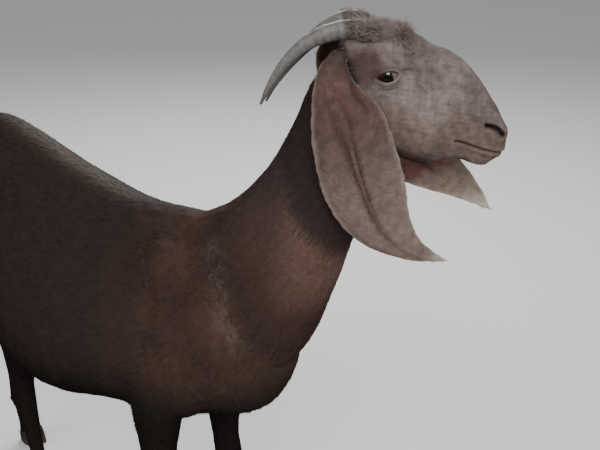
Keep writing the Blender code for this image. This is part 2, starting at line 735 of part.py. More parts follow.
def merge_locks(thing, locks):
    """Join locks to the node they grow on, then remove the loose ones."""
    union = thing.modifiers.new("Locks", "BOOLEAN")
    union.operation = "UNION"
    union.operand_type = "COLLECTION"
    union.collection = locks
    replace_mesh(thing)
    for piece in list(locks.objects):
        bpy.data.objects.remove(piece, do_unlink=True)
    bpy.data.collections.remove(locks)
    keep_largest(thing)


def poll_tuft(head):
    """The wavy hair on the poll and forehead."""
    rng = random.Random(4)
    locks = new_collection("poll_locks")
    tops = smooth_rows(HEAD, 60)[:, :2]
    columns = POLL_LOCKS // TUFT_ROWS
    for index in range(POLL_LOCKS):
        row, column = divmod(index, columns)
        along = TUFT_START + TUFT_LENGTH * row / (TUFT_ROWS - 1.0) + rng.uniform(-0.004, 0.004)
        share = 2.0 * (column + 0.5) / columns - 1.0
        out = TUFT_HALF_WIDTH * share + rng.uniform(-0.003, 0.003)
        crown = TUFT_CORE * max(0.0, 1.0 - ((along - 0.030) / 0.038) ** 2)
        height = float(np.interp(along, tops[:, 0], tops[:, 1])) + (crown - 0.003) * (1.0 - share * share)
        root = axis_point(along, out, height - 0.002 - 0.020 * share * share)
        run = axis_point(1.0, share * 0.75, -0.30 * abs(share)) - axis_point(0, 0, 0)
        lift = axis_point(0.0, share * 0.6, 1.0) - axis_point(0, 0, 0)
        length, width = rng.uniform(0.028, 0.036), rng.uniform(0.0070, 0.0090)
        bend = rng.uniform(0.006, 0.009)
        lock(root, run.normalized(), lift.normalized(), length, width, 0.0042, bend, locks)
    merge_locks(head, locks)


def tail_hair(thing):
    """Longer hair down both sides and the end of the tail."""
    rng = random.Random(7)
    locks = new_collection("tail_locks")
    rows = smooth_rows(TAIL, TAIL_LOCKS // 2 + 3)[2:-1]
    for x, z, wide, _ in rows:
        for side in (-1, 1):
            root = Vector((x - 0.002, side * wide * 0.55, z))
            run = Vector((rng.uniform(-0.35, -0.15), side * 0.16, -1.0)).normalized()
            lift = Vector((-0.6, side * 0.8, 0.0)).normalized()
            lock(root, run, lift, rng.uniform(0.055, 0.070), 0.0090, 0.0045, 0.006, locks)
    merge_locks(thing, locks)


def tail(torso_cutter, goat):
    """The tail, a short flat brush that hangs from the rump."""
    rings = []
    rows = smooth_rows(TAIL, 16)
    for index, (x, z, wide, thick) in enumerate(rows):
        before, after = rows[max(index - 1, 0)], rows[min(index + 1, len(rows) - 1)]
        ahead = Vector((after[0] - before[0], 0.0, after[1] - before[1])).normalized()
        up = Vector((0.0, 1.0, 0.0)).cross(ahead)
        rings.append(oval(Vector((x, 0.0, z)), Vector((0, 1, 0)), up, wide, thick, thick, 0.0, 16))
    thing = loft("tail", rings, goat)
    tail_hair(thing)
    cut(thing, torso_cutter, "DIFFERENCE")
    keep_largest(thing)
    return thing


def dewclaws(collection):
    """The two small hind claws above each hoof."""
    made = []
    for rows, leg_side, forward, outward in LEGS.values():
        fetlock = min(rows, key=lambda row: abs(row[0] - DEWCLAW_HEIGHT))
        for side in (-1, 1):
            place = Vector((fetlock[1] + forward - fetlock[3] * 0.95,
                            leg_side * (fetlock[2] + outward) + side * 0.0105, DEWCLAW_HEIGHT - 0.008))
            made.append(ball("dewclaw", place, (0.0085, 0.0070, 0.0110), level(-20.0), collection))
    return made


def body(goat):
    """The whole body as one skin, thinned to what the solids need."""
    shapes = [trunk(goat), neck(goat), skull(goat)]
    shapes += [leg(name, *values, goat) for name, values in LEGS.items()]
    shapes += masses(goat)
    shapes += dewclaws(goat)
    flesh = join(shapes, "flesh", goat)
    fuse(flesh, VOXEL)
    strength = 0.5 - 0.35 * head_nearness(positions(flesh.data))
    relax(flesh.data, 40, strength)
    thin_out(flesh, FLESH_TRIANGLES)
    return flesh


def finish(goat):
    """Give each node its material, shade it smooth and centre the goat on its feet."""
    low = Vector((1e9, 1e9, 1e9))
    high = -low
    for node in goat.objects:
        node.data.transform(node.matrix_world)
        node.matrix_world = Matrix.Identity(4)
        for corner in node.data.vertices:
            low = Vector(map(min, low, corner.co))
            high = Vector(map(max, high, corner.co))
    shift = Vector((-(low.x + high.x) / 2.0, -(low.y + high.y) / 2.0, -low.z))
    for node in goat.objects:
        node.data.transform(Matrix.Translation(shift))
        node.data.materials.clear()
        node.data.materials.append(material_for(node.name))
        node.data.shade_smooth()
        node.data.set_sharp_from_angle(angle=math.radians(50.0))
    return shift


def build():
    """Make every node of the goat."""
    clear_scene()
    goat = new_collection("beetal_goat")
    cutters = new_collection("cutters")
    flesh = body(goat)
    head = divide(flesh, goat, cutters)
    swollen_neck = swollen(bpy.data.objects["neck"], GAP, cutters)
    behind_ears = [swollen(head, GAP, cutters), swollen_neck]
    face_openings(head, cutters)
    poll_tuft(head)
    cut(head, swollen_neck, "DIFFERENCE")
    keep_largest(head)
    for side_name, side in (("right", -1), ("left", 1)):
        ear("ear_" + side_name, side, behind_ears, goat)
        horn("horn_" + side_name, side, head, goat, cutters)
        eye("eye_" + side_name, side, head, goat, cutters)
    tail(swollen(bpy.data.objects["torso"], GAP, cutters), goat)
    for leg_name in LEGS:
        claw("hoof_" + leg_name + "_inner", leg_name, True, goat)
        claw("hoof_" + leg_name + "_outer", leg_name, False, goat)
    return finish(goat)


SHIFT = build()
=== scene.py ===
"""The dressed beetal goat: one skin, lids, eyes, horns, hooves and a coat of mesh tufts.

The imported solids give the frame.  Their flesh is fused into one skin, which is
smoothed, drawn in by the depth of the coat and carved.  Hair is grown on it as
solid mesh tufts that follow the lie of the coat.  All sizes are in metres.
"""
import math

import bmesh
import bpy
import numpy as np
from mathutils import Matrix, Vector
from mathutils.bvhtree import BVHTree
from mathutils.kdtree import KDTree


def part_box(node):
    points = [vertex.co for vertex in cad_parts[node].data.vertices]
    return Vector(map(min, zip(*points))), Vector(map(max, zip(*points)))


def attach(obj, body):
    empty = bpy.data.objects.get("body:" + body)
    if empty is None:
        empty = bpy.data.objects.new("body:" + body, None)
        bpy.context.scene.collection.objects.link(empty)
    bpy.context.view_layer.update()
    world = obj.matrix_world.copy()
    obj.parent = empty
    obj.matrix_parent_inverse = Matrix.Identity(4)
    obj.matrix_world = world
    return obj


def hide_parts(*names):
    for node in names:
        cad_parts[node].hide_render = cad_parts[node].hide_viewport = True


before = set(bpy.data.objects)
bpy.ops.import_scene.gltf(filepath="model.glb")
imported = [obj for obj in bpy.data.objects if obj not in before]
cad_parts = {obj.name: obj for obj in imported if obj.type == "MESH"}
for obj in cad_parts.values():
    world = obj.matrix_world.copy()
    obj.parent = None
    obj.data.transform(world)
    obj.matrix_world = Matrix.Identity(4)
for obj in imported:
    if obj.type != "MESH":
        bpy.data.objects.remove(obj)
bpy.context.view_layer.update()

# Parts of the flesh, in the order of their labels
PARTS = ("torso", "neck", "head", "tail", "leg_front_right", "leg_front_left",
         "leg_hind_right", "leg_hind_left", "ear_right", "ear_left")
TORSO, NECK, HEAD, TAIL, EAR_RIGHT, EAR_LEFT = 0, 1, 2, 3, 8, 9
LEGS = (4, 5, 6, 7)
EARS = (EAR_RIGHT, EAR_LEFT)
SIDES = ((-1, "right"), (1, "left"))

# The head's own frame: origin, heading to the goat's left and slope of the long axis
HEAD_ORIGIN = np.array((0.454, 0.102, 1.037))
HEAD_TURN = math.radians(40.0)
HEAD_DIP = math.radians(24.3)
HEAD_START = -0.055
AHEAD = np.array((math.cos(HEAD_TURN), math.sin(HEAD_TURN), 0.0))
LEFT = np.array((-math.sin(HEAD_TURN), math.cos(HEAD_TURN), 0.0))
RISE = np.array((0.0, 0.0, 1.0))

# Skin
SWELL = 0.0006                    # closes the thin gaps between the solids
VOXEL = 0.0022
SKIN_TRIANGLES = 400000           # before the face is refined
FINE_FROM = (0.36, 0.76)          # the head and ears lie past this x and above this z
SKIN_DEPTH = 0.0012               # how far the skin lies inside the solids
EAR_DEPTH, POLL_DEPTH, TAIL_DEPTH = 0.0004, 0.006, 0.004
FOLD_LIMIT = 0.25                 # below this a triangle counts as folded
UNFOLD_ROUNDS = 10
NO_SHRINK, PLAIN = (0.5, -0.53), (0.5,)

# Eyes
EYE_RADIUS = 0.0145
EYE_ALONG, EYE_UP, EYE_OUT = 0.05, 0.023, 0.046
EYE_ROWS, EYE_COLUMNS = 56, 64
CORNEA = 0.0006                   # how far the cornea stands out
LID_LENGTH, LID_HEIGHT = 0.0255, 0.0138
LID_TILT = math.radians(38.0)
LID_SIDES = 72
# Section of the lid's margin: growth of the opening, height over the eyeball
LID_PROFILE = ((-0.0005, -0.001), (-0.0006, 0.0004), (-0.0001, 0.001), (0.0006, 0.0013),
               (0.0013, 0.001), (0.0017, -0.0004), (0.0007, -0.0014))

# Lines of the face in the head's long plane: along, up
MOUTH = ((0.1735, -0.0232), (0.1785, -0.0213), (0.195, -0.02), (0.212, -0.019),
         (0.228, -0.017), (0.24, -0.015), (0.248, -0.0135))
NOSTRIL = ((0.2035, 0.0118), (0.211, 0.0132), (0.221, 0.0127), (0.23, 0.0088))
LID_FOLD = ((0.064, 0.0365), (0.07, 0.039), (0.077, 0.0398))
VEIN = ((0.0856, 0.0439), (0.09, 0.035), (0.0918, 0.0276), (0.108, 0.022))
# Folds of the face: path, width, height
FACE_STROKES = (
    (LID_FOLD, 0.0014, -0.0011),
    (((0.07, 0.03), (0.079, 0.029), (0.086, 0.024)), 0.0012, -0.0006),
    (((0.047, 0.003), (0.06, 0.006), (0.072, 0.015)), 0.0018, -0.0011),
    (((0.05, -0.002), (0.065, 0.001), (0.08, 0.01)), 0.0026, 0.0009),
    (VEIN, 0.0014, 0.0009),
    (((0.099, 0.008), (0.118, -0.006), (0.14, -0.014)), 0.0014, 0.0008),
    (((0.06, 0.044), (0.08, 0.05), (0.105, 0.052)), 0.003, 0.001),
    (((0.065, -0.025), (0.105, -0.024), (0.15, -0.026)), 0.005, 0.0016),
    (((0.165, -0.03), (0.173, -0.022), (0.176, -0.013)), 0.0018, -0.001),
    (((0.19, 0.005), (0.195, 0.016), (0.205, 0.023), (0.218, 0.024)), 0.0016, -0.0007),
    (((0.02, -0.06), (0.02, -0.03), (0.026, 0.0)), 0.007, 0.0018),
)
# Painted shade in folds of the face and under the front of the poll's wool, and dark mottles: path, width,
# share
FACE_SHADE_AND_MOTTLES = (
    # painted shade in the fold in front of the eye
    (LID_FOLD, 0.0018, 0.7),
    (VEIN, 0.002, 0.45),
    (((0.099, 0.048), (0.112, 0.043)), 0.007, 0.35),
    (((0.102, 0.034), (0.118, 0.03), (0.13, 0.034)), 0.005, 0.25),
    (((-0.014, 0.042), (0.004, 0.028)), 0.015, 0.5),
    (((0.04, 0.044), (0.056, 0.044)), 0.0022, 0.3),
    # painted shade under the front edge of the poll's wool
    (((0.056, 0.072), (0.068, 0.07)), 0.007, 0.55),
    (((0.058, -0.012), (0.072, -0.03)), 0.01, 0.22),
    (((0.15, -0.008), (0.156, -0.024)), 0.006, 0.3),
)
# Painted shade in the crease between the near ear and the cheek: forward and up
EAR_CREASE_SHADE = ((-0.06, 0.044), (-0.053, 0.019), (-0.047, 0.0), (-0.043, -0.015), (-0.032, -0.028))

# Swells and hollows of the body: path along x and z, width, height
MUSCLES = (
    (((0.175, 0.76), (0.2, 0.66), (0.235, 0.585)), 0.016, 0.0026),
    (((0.11, 0.74), (0.12, 0.64), (0.135, 0.54)), 0.026, -0.0024),
    (((0.24, 0.6), (0.2, 0.545), (0.17, 0.52)), 0.02, 0.0024),
    (((-0.215, 0.74), (-0.235, 0.69)), 0.04, -0.005),
    (((-0.29, 0.79), (-0.33, 0.74)), 0.018, 0.0022),
)
RIBS = tuple((((x, 0.69), (x - 0.03, 0.59), (x - 0.026, 0.5)), 0.011, 0.0006)
             for x in (0.055, 0.019, -0.017, -0.053, -0.089, -0.125))
SHOULDER_STREAK = ((0.284, 0.772), (0.3, 0.72), (0.324, 0.65))

# Ear edges in the head's plane: forward, up.  The rear edge, then the front edge
EAR_EDGES = {
    EAR_RIGHT: (
        ((-0.062, 0.03), (-0.077, 0.024), (-0.091, 0.002), (-0.097, -0.046), (-0.092, -0.105),
         (-0.076, -0.16), (-0.046, -0.206), (0.0, -0.236), (0.045, -0.248), (0.084, -0.252)),
        ((-0.052, 0.032), (-0.053, 0.02), (-0.043, -0.004), (-0.008, -0.036), (0.01, -0.08),
         (0.024, -0.125), (0.032, -0.168), (0.044, -0.208), (0.068, -0.234), (0.09, -0.251)),
    ),
    EAR_LEFT: (
        ((-0.05, 0.034), (-0.07, 0.03), (-0.088, 0.004), (-0.083, -0.046), (-0.062, -0.1),
         (-0.03, -0.145), (0.012, -0.178), (0.06, -0.197), (0.112, -0.211), (0.162, -0.228)),
        ((-0.038, 0.038), (-0.033, 0.03), (-0.028, 0.002), (0.002, -0.034), (0.04, -0.066),
         (0.076, -0.1), (0.104, -0.132), (0.13, -0.163), (0.152, -0.193), (0.172, -0.229)),
    ),
}
EAR_OUT = (0.026, 0.046, 0.06, 0.07, 0.076, 0.078, 0.076, 0.072, 0.068, 0.064)
EAR_ARCH = (0.002, 0.012, 0.021, 0.025, 0.024, 0.02, 0.016, 0.012, 0.007, 0.001)
EAR_FOLDS = (-0.3, 0.22)
EAR_FOLD_DEPTH = 0.006
EAR_ROWS, EAR_COLUMNS = 91, 41
EAR_SPAN = 2.4                    # length of an ear against half its width
# Grooves of the ear: place down the ear, place across it from -1 at the rear edge
EAR_GROOVES = (
    ((0.26, -0.56), (0.33, -0.42), (0.42, -0.18), (0.52, -0.11), (0.67, -0.08), (0.82, -0.1)),
    ((0.24, -0.14), (0.36, 0.06), (0.5, 0.05), (0.62, 0.03), (0.74, 0.02)),
)

# Horn centre lines in the head's frame: forward, out, up, radius
HORNS = {
    "horn_right": (
        (0.0, 0.018, 0.018, 0.0125), (-0.016, 0.02, 0.043, 0.0138),
        (-0.042, 0.022, 0.0516, 0.013), (-0.072, 0.024, 0.0487, 0.0112),
        (-0.102, 0.026, 0.0355, 0.0092), (-0.128, 0.028, 0.0123, 0.007),
        (-0.1486, 0.029, -0.0169, 0.0044), (-0.161, 0.029, -0.0419, 0.0016),
    ),
    "horn_left": (
        (0.0, 0.018, 0.018, 0.0125), (-0.016, 0.02, 0.044, 0.0136),
        (-0.042, 0.021, 0.0565, 0.0126), (-0.07, 0.022, 0.048, 0.011),
        (-0.098, 0.024, 0.026, 0.009), (-0.124, 0.026, -0.002, 0.0068),
        (-0.144, 0.027, -0.03, 0.0043), (-0.156, 0.027, -0.054, 0.0016),
    ),
}
HORN_ROWS, HORN_SIDES = 150, 28
HORN_FLAT = 0.82                  # width of a horn's section against its height
HOOF_ROWS, HOOF_SIDES = 34, 48
HOOF_SHIFT = 0.008                # how far a sole reaches ahead of the coronet's middle
HOOF_SLOPE = 0.4

# Coat of each part: length, width, lift and tufts per square metre
COAT = {
    "torso": (0.015, 0.0019, 0.07, 54000),
    "neck": (0.014, 0.0018, 0.08, 62000),
    "head": (0.0056, 0.0011, 0.13, 300000),
    "tail": (0.02, 0.0024, 0.2, 60000),
    "leg": (0.0085, 0.0014, 0.12, 100000),
    "ear": (0.0065, 0.0012, 0.14, 150000),
}
COAT_GROUPS = (
    ((TORSO,), "coat_torso", "body_coat"),
    ((NECK,), "coat_neck", "neck_coat"),
    ((HEAD,), "coat_head", "head_coat"),
    ((TAIL,), "coat_tail", "tail_hair"),
    (LEGS, "coat_legs", "leg_coat"),
    (EARS, "coat_ears", "ear_coat"),
)
LEAN = 0.4                        # how round a tuft of the short coat is shaded
HOLLOW_LIFT = 1100.0              # raises tufts where the skin is hollow
PIECE_TUFTS = 19500               # keeps each piece under 200,000 triangles
TUFT_LIMIT = 134000
POLL_STRANDS, POLL_DENSITY = 2500, 900000.0
TAIL_STRANDS, TAIL_DENSITY = 1600, 90000.0
HORN_WOOL = 800                   # strands on the root of each horn
PATCH = 0.003                     # size of a tuft's patch on the flat map
INSET = 0.004
# Boxes of the flat map for each part: left, bottom, width, height
ATLAS = (
    (0.0, 0.0, 0.6, 0.42), (0.6, 0.0, 0.4, 0.42), (0.0, 0.42, 0.5, 0.34),
    (0.0, 0.9, 0.3, 0.1), (0.5, 0.42, 0.25, 0.17), (0.75, 0.42, 0.25, 0.17),
    (0.5, 0.59, 0.25, 0.17), (0.75, 0.59, 0.25, 0.17), (0.0, 0.76, 0.5, 0.14),
    (0.5, 0.76, 0.5, 0.14),
)

# Colours, linear
UMBER = (0.0225, 0.0138, 0.0112)
CHESTNUT = (0.048, 0.025, 0.0182)
SABLE = (0.009, 0.0064, 0.0055)
# Painted light on the front of the throat
THROAT_PAINTED_LIGHT = (0.1, 0.056, 0.043)
TAUPE = (0.158, 0.124, 0.112)
PALE_TAUPE = (0.235, 0.19, 0.168)
TEMPLE = (0.052, 0.029, 0.026)
NECK_GAIN = (0.4, 0.42, 0.55)
WARM_LOSS = (0.06, 0.14, 0.19)    # what the lower face takes from red, green and blue
RUFOUS = (0.08, 0.043, 0.035)
EAR_TAUPE = (0.143, 0.104, 0.088)
EAR_ROOT_BROWN = (0.052, 0.036, 0.03)
INNER_RED = (0.19, 0.083, 0.074)
CREAM = (0.42, 0.37, 0.32)
TAN = (0.24, 0.185, 0.145)
# Painted shade in folds, grooves and under the jaw; also the face's dark mottles
SHADE_AND_MOTTLE_BROWN = (0.052, 0.027, 0.022)
LIP = (0.17, 0.1, 0.09)
# Painted shade in the mouth's slit and in the nostrils
MOUTH_SLIT_SHADE = (0.034, 0.016, 0.014)
NOSTRIL_SHADE = (0.012, 0.008, 0.007)
# Grey hairs; along the ridge of the back this colour is also painted rim light
GRIZZLE_AND_RIM_LIGHT = (0.145, 0.11, 0.088)
HORN_GREY = (0.118, 0.108, 0.098)
HORN_ROOT = (0.06, 0.046, 0.04)
HORN_TIP = (0.05, 0.045, 0.041)
# The pale lid colour is partly the margin's own colour and partly a painted highlight on the wet lower lid
LID_DARK, LID_PALE_AND_HIGHLIGHT, LID_PINK = (0.03, 0.021, 0.018), (0.27, 0.222, 0.202), (0.15, 0.085, 0.075)
HOOF_BROWN, HOOF_WORN, HOOF_TOP = (0.034, 0.028, 0.024), (0.062, 0.05, 0.041), (0.018, 0.014, 0.012)
PUPIL, EYE_RIM, THIRD_LID = (0.003, 0.003, 0.003, 1.0), (0.014, 0.009, 0.008, 1.0), (0.112, 0.088, 0.079, 1.0)
IRIS_DARK, IRIS_LIGHT = (0.006, 0.004, 0.003, 1.0), (0.026, 0.015, 0.009, 1.0)
FLOOR_DARK, FLOOR_LIGHT = (0.6, 0.59, 0.57, 1.0), (0.66, 0.65, 0.63, 1.0)
SKY = (0.92, 0.95, 1.0, 1.0)

# The photo's camera before the shift into the row's frame
CAMERA = (1.114, -0.856, 1.326)
CAMERA_TURN, CAMERA_DIP = math.radians(40.0), math.radians(24.0)
LENS, SENSOR = 54.0, 36.0
# Lamps: name, place, size, power, seen in glossy surfaces
LIGHTS = (
    ("key", (1.9, -1.7, 2.7), 1.6, 85.0, True),
    ("fill", (-1.2, -2.6, 1.6), 2.0, 30.0, False),
    ("back", (-1.4, 1.9, 2.6), 1.4, 95.0, True),
    ("side", (2.4, 1.8, 1.6), 1.6, 30.0, False),
)
LAMP_AIM = Vector((0.15, 0.0, 0.75))

random = np.random.default_rng(7)


def unit(vectors):
    """Vectors scaled to length one."""
    return vectors / np.maximum(np.linalg.norm(vectors, axis=-1, keepdims=True), 1e-12)


def dot(first, second):
    """Dot products of two rows of vectors."""
    return np.einsum("ij,ij->i", first, second)


def ramp(values, low, high):
    """A smooth step from 0 at low to 1 at high."""
    share = np.clip((values - low) / (high - low), 0.0, 1.0)
    return share * share * (3.0 - 2.0 * share)


def fall(values, low, high):
    """A smooth step from 1 at low to 0 at high."""
    return 1.0 - ramp(values, low, high)


def band(values, start, low, high, end):
    """One between low and high, fading to zero at start and end."""
    return ramp(values, start, low) * fall(values, high, end)


def bump_at(values, centre, width):
    """A bell of height one round a centre."""
    return np.exp(-((values - centre) / width) ** 2)


def around(count):
    """Angles spaced evenly round a circle."""
    return np.linspace(0.0, 2.0 * math.pi, count, endpoint=False)


def head_point(forward, out, up):
    """World place of a point given in the head's own upright frame."""
    forward, out, up = (np.asarray(value, dtype=float)[..., None] for value in (forward, out, up))
    return HEAD_ORIGIN + AHEAD * forward + LEFT * out + RISE * up


def axis_point(along, out, up):
    """World place of a point given along and across the head's long axis."""
    along, up = np.asarray(along, dtype=float), np.asarray(up, dtype=float)
    forward = HEAD_START + along * math.cos(HEAD_DIP) + up * math.sin(HEAD_DIP)
    height = -along * math.sin(HEAD_DIP) + up * math.cos(HEAD_DIP)
    return head_point(forward, out, height)


def head_places(points):
    """Forward, out and up in the head's upright frame."""
    local = points - HEAD_ORIGIN
    return local @ AHEAD, local @ LEFT, local[:, 2]


def axis_places(points):
    """Along, out and up on the head's long axis."""
    forward, out, height = head_places(points)
    forward = forward - HEAD_START
    along = forward * math.cos(HEAD_DIP) - height * math.sin(HEAD_DIP)
    up = forward * math.sin(HEAD_DIP) + height * math.cos(HEAD_DIP)
    return along, out, up


def row_shift():
    """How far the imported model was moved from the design's frame."""
    low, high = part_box("eye_right")
    middle = (np.array(low) + np.array(high)) / 2.0
    shift = middle - axis_point(EYE_ALONG, -EYE_OUT, EYE_UP)
    return np.array((shift[0], shift[1], 0.0))


SHIFT = row_shift()
HEAD_ORIGIN = HEAD_ORIGIN + SHIFT
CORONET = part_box("hoof_front_right_inner")[1][2]


def smooth_rows(rows, count):
    """Resample rows of numbers on a Catmull-Rom curve through them."""
    data = np.array(rows, dtype=float)
    padded = np.vstack([2.0 * data[0] - data[1], data, 2.0 * data[-1] - data[-2]])
    places = np.linspace(0.0, len(data) - 1.0, count)
    start = np.minimum(places.astype(int), len(data) - 2)
    t = (places - start)[:, None]
    before, here, there, after = (padded[start + step] for step in range(4))
    slope_here = 0.5 * (there - before)
    slope_there = 0.5 * (after - here)
    return ((2 * t**3 - 3 * t**2 + 1) * here + (t**3 - 2 * t**2 + t) * slope_here
            + (3 * t**2 - 2 * t**3) * there + (t**3 - t**2) * slope_there)


def ripple(points, size, seed):
    """A smooth irregular field between about -1 and 1 whose waves are about size long."""
    draw = np.random.default_rng(seed)
    total = np.zeros(len(points))
    for _ in range(7):
        way = unit(draw.normal(size=3)) * 2.0 * math.pi / (size * draw.uniform(0.7, 1.5))
        total += np.sin(points @ way + draw.uniform(0.0, 6.3))
    return total / 3.2


def from_path(first, second, path):
    """Distance from points of a plane to a line of corners, and the share along it."""
    corners = np.array(path, dtype=float)
    lengths = np.linalg.norm(np.diff(corners, axis=0), axis=1)
    best = np.full(len(first), 1e9)
    share = np.zeros(len(first))
    done = 0.0
    for start, end, length in zip(corners, corners[1:], lengths):
        way = (end - start) / length
        t = np.clip((first - start[0]) * way[0] + (second - start[1]) * way[1], 0.0, length)
        gap = np.hypot(first - start[0] - way[0] * t, second - start[1] - way[1] * t)
        closer = gap < best
        best[closer] = gap[closer]
        share[closer] = (done + t[closer]) / lengths.sum()
        done += length
    return best, share


def stroke(first, second, path, width):
    """One on a line of corners, fading over the width beside it."""
    return bump_at(from_path(first, second, path)[0], 0.0, width)


def laid(base, over, share):
    """Rows with another row laid over them by a share for each."""
    share = np.clip(share, 0.0, 1.0)[:, None]
    return base * (1.0 - share) + np.array(over) * share


class Tones:
    """A colour for each vertex, over which others are laid."""

    def __init__(self, colour, count):
        self.rows = np.tile(np.array(colour), (count, 1))

    def lay(self, colour, share):
        """Lay a colour by a share for each vertex."""
        self.rows = laid(self.rows, colour, share)

    def gain(self, share, tone=(1.0, 1.0, 1.0)):
        """Lighten by a share for each vertex, or darken where it is negative."""
        self.rows = self.rows * (1.0 + share[:, None] * np.array(tone))


# Meshes

def new_object(name, mesh):
    """An object on a mesh, linked to the scene."""
    thing = bpy.data.objects.new(name, mesh)
    bpy.context.scene.collection.objects.link(thing)
    return thing


def dress_piece(name, mesh, material, slot, *replaced):
    """A finished piece with its material, its body and the nodes it replaces; the slot is not used."""
    mesh.materials.append(material)
    piece = new_object(name, mesh)
    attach(piece, "root")
    if replaced:
        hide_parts(*replaced)
    return piece


def mesh_of(name, points, faces):
    """A smooth-shaded mesh from arrays of points and of triangles or quads."""
    mesh = bpy.data.meshes.new(name)
    mesh.vertices.add(len(points))
    mesh.vertices.foreach_set("co", np.asarray(points, dtype=np.float32).ravel())
    mesh.loops.add(faces.size)
    mesh.loops.foreach_set("vertex_index", faces.astype(np.int32).ravel())
    mesh.polygons.add(len(faces))
    mesh.polygons.foreach_set("loop_start", np.arange(0, faces.size, faces.shape[1], dtype=np.int32))
    shade_smooth(mesh)
    mesh.update(calc_edges=True)
    return mesh


def shade_smooth(mesh):
    """Shade every face smooth."""
    mesh.polygons.foreach_set("use_smooth", np.ones(len(mesh.polygons), dtype=bool))


def straighten(mesh):
    """Turn all faces outward."""
    shape = bmesh.new()
    shape.from_mesh(mesh)
    bmesh.ops.recalc_face_normals(shape, faces=shape.faces)
    shape.to_mesh(mesh)
    shape.free()


def keep_vector(mesh, name, vectors):
    """A vector for each vertex, kept as an attribute."""
    layer = mesh.attributes.new(name, "FLOAT_VECTOR", "POINT")
    layer.data.foreach_set("vector", np.asarray(vectors, dtype=np.float32).ravel())


def mark(mesh, colours, roots):
    """Keep the marking and the root of every vertex as attributes."""
    layer = mesh.color_attributes.new("marking", "FLOAT_COLOR", "POINT")
    full = np.ones((len(mesh.vertices), 4), dtype=np.float32)
    full[:, :3] = colours
    layer.data.foreach_set("color", full.ravel())
    keep_vector(mesh, "root", roots)


def read_rows(things, field, width, kind=np.float32):
    """One field of all vertices, edges or triangles, as rows."""
    flat = np.empty(len(things) * width, dtype=kind)
    things.foreach_get(field, flat)
    return flat.reshape(-1, width)


def places_of(mesh):
    """Places of the vertices as an array."""
    return read_rows(mesh.vertices, "co", 3).astype(float)


def normals_of(mesh, points):
    """Store places and read back the normals of the vertices."""
    mesh.vertices.foreach_set("co", np.asarray(points, dtype=np.float32).ravel())
    mesh.update()
    return unit(read_rows(mesh.vertices, "normal", 3).astype(float))


def edges_of(mesh):
    """Pairs of vertices that share an edge."""
    return read_rows(mesh.edges, "vertices", 2, np.int32)


def triangles_of(mesh):
    """Corners of the triangles of a mesh."""
    mesh.calc_loop_triangles()
    return read_rows(mesh.loop_triangles, "vertices", 3, np.int32)


def ring_quads(rows, columns, closed=False):
    """Quads between rings of vertices; closed joins the last ring to the first."""
    low = np.arange(rows if closed else rows - 1)[:, None] * columns
    high = (low + columns) % (rows * columns)
    here = np.arange(columns)
    after = (here + 1) % columns
    return np.stack([low + here, low + after, high + after, high + here], axis=-1).reshape(-1, 4)


def tube_faces(rows, columns):
    """Triangles of a tube of rings whose two end points come after the rings."""
    quads = ring_quads(rows, columns)
    here = np.arange(columns)
    after = (here + 1) % columns
    start, end = np.full(columns, rows * columns), np.full(columns, rows * columns + 1)
    last = (rows - 1) * columns
    return np.vstack([quads[:, (0, 1, 2)], quads[:, (0, 2, 3)],
                      np.column_stack([start, after, here]),
                      np.column_stack([end, last + here, last + after])])


def average(values, edges, rounds=1):
    """The mean over the neighbours of each vertex, taken anew in each round."""
    count = len(values)
    degree = np.maximum(np.bincount(edges.ravel(), minlength=count), 1)
    first, second = edges.T
    table = values.reshape(count, -1)
    for _ in range(rounds):
        table = np.column_stack([
            (np.bincount(first, row[second], count) + np.bincount(second, row[first], count)) / degree
            for row in table.T])
    return table.reshape(values.shape)


def relax(points, edges, rounds, amount, steps=NO_SHRINK):
    """Smooth the points by a share for each vertex; without shrinking, unless steps are given."""
    for _ in range(rounds):
        for step in steps:
            points = points + (average(points, edges) - points) * (step * amount)[:, None]
    return points


def nearest(places, wanted):
    """Index of the place that lies nearest to each wanted point."""
    tree = KDTree(len(places))
    for index, place in enumerate(places):
        tree.insert(place, index)
    tree.balance()
    return np.array([tree.find(point)[1] for point in wanted])


# Skin

class Skin:
    """The skin's mesh and what is known at each of its vertices."""


def settled(thing):
    """The mesh of an object with its modifiers applied; the object goes."""
    graph = bpy.context.evaluated_depsgraph_get()
    mesh = bpy.data.meshes.new_from_object(thing.evaluated_get(graph))
    bpy.data.objects.remove(thing, do_unlink=True)
    return mesh


def fused_flesh():
    """The flesh and eye solids, a little swollen, as one closed fine mesh."""
    shape = bmesh.new()
    for name in PARTS + ("eye_right", "eye_left"):
        piece = bmesh.new()
        piece.from_mesh(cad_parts[name].data)
        bmesh.ops.remove_doubles(piece, verts=piece.verts, dist=1e-6)
        bmesh.ops.recalc_face_normals(piece, faces=piece.faces)
        piece.normal_update()
        for vertex in piece.verts:
            vertex.co += vertex.normal * SWELL
        copy = bpy.data.meshes.new(name + "_copy")
        piece.to_mesh(copy)
        piece.free()
        shape.from_mesh(copy)
        bpy.data.meshes.remove(copy)
    mesh = bpy.data.meshes.new("flesh")
    shape.to_mesh(mesh)
    shape.free()
    thing = new_object("flesh", mesh)
    voxels = thing.modifiers.new("Voxels", "REMESH")
    voxels.mode = "VOXEL"
    voxels.voxel_size = VOXEL
    return settled(thing)


def thin_out(mesh):
    """A copy of the mesh with fewer triangles on the trunk, neck and legs."""
    thing = new_object("flesh", mesh)
    x, _, z = places_of(mesh).T
    body = np.flatnonzero((x < FINE_FROM[0]) | (z < FINE_FROM[1]))
    group = thing.vertex_groups.new(name="body")
    group.add(body.tolist(), 1.0, "REPLACE")
    thinner = thing.modifiers.new("Thinner", "DECIMATE")
    thinner.ratio = SKIN_TRIANGLES / (2.0 * len(mesh.vertices))
    thinner.vertex_group = group.name
    thinner.vertex_group_factor = 3.0
    return settled(thing)


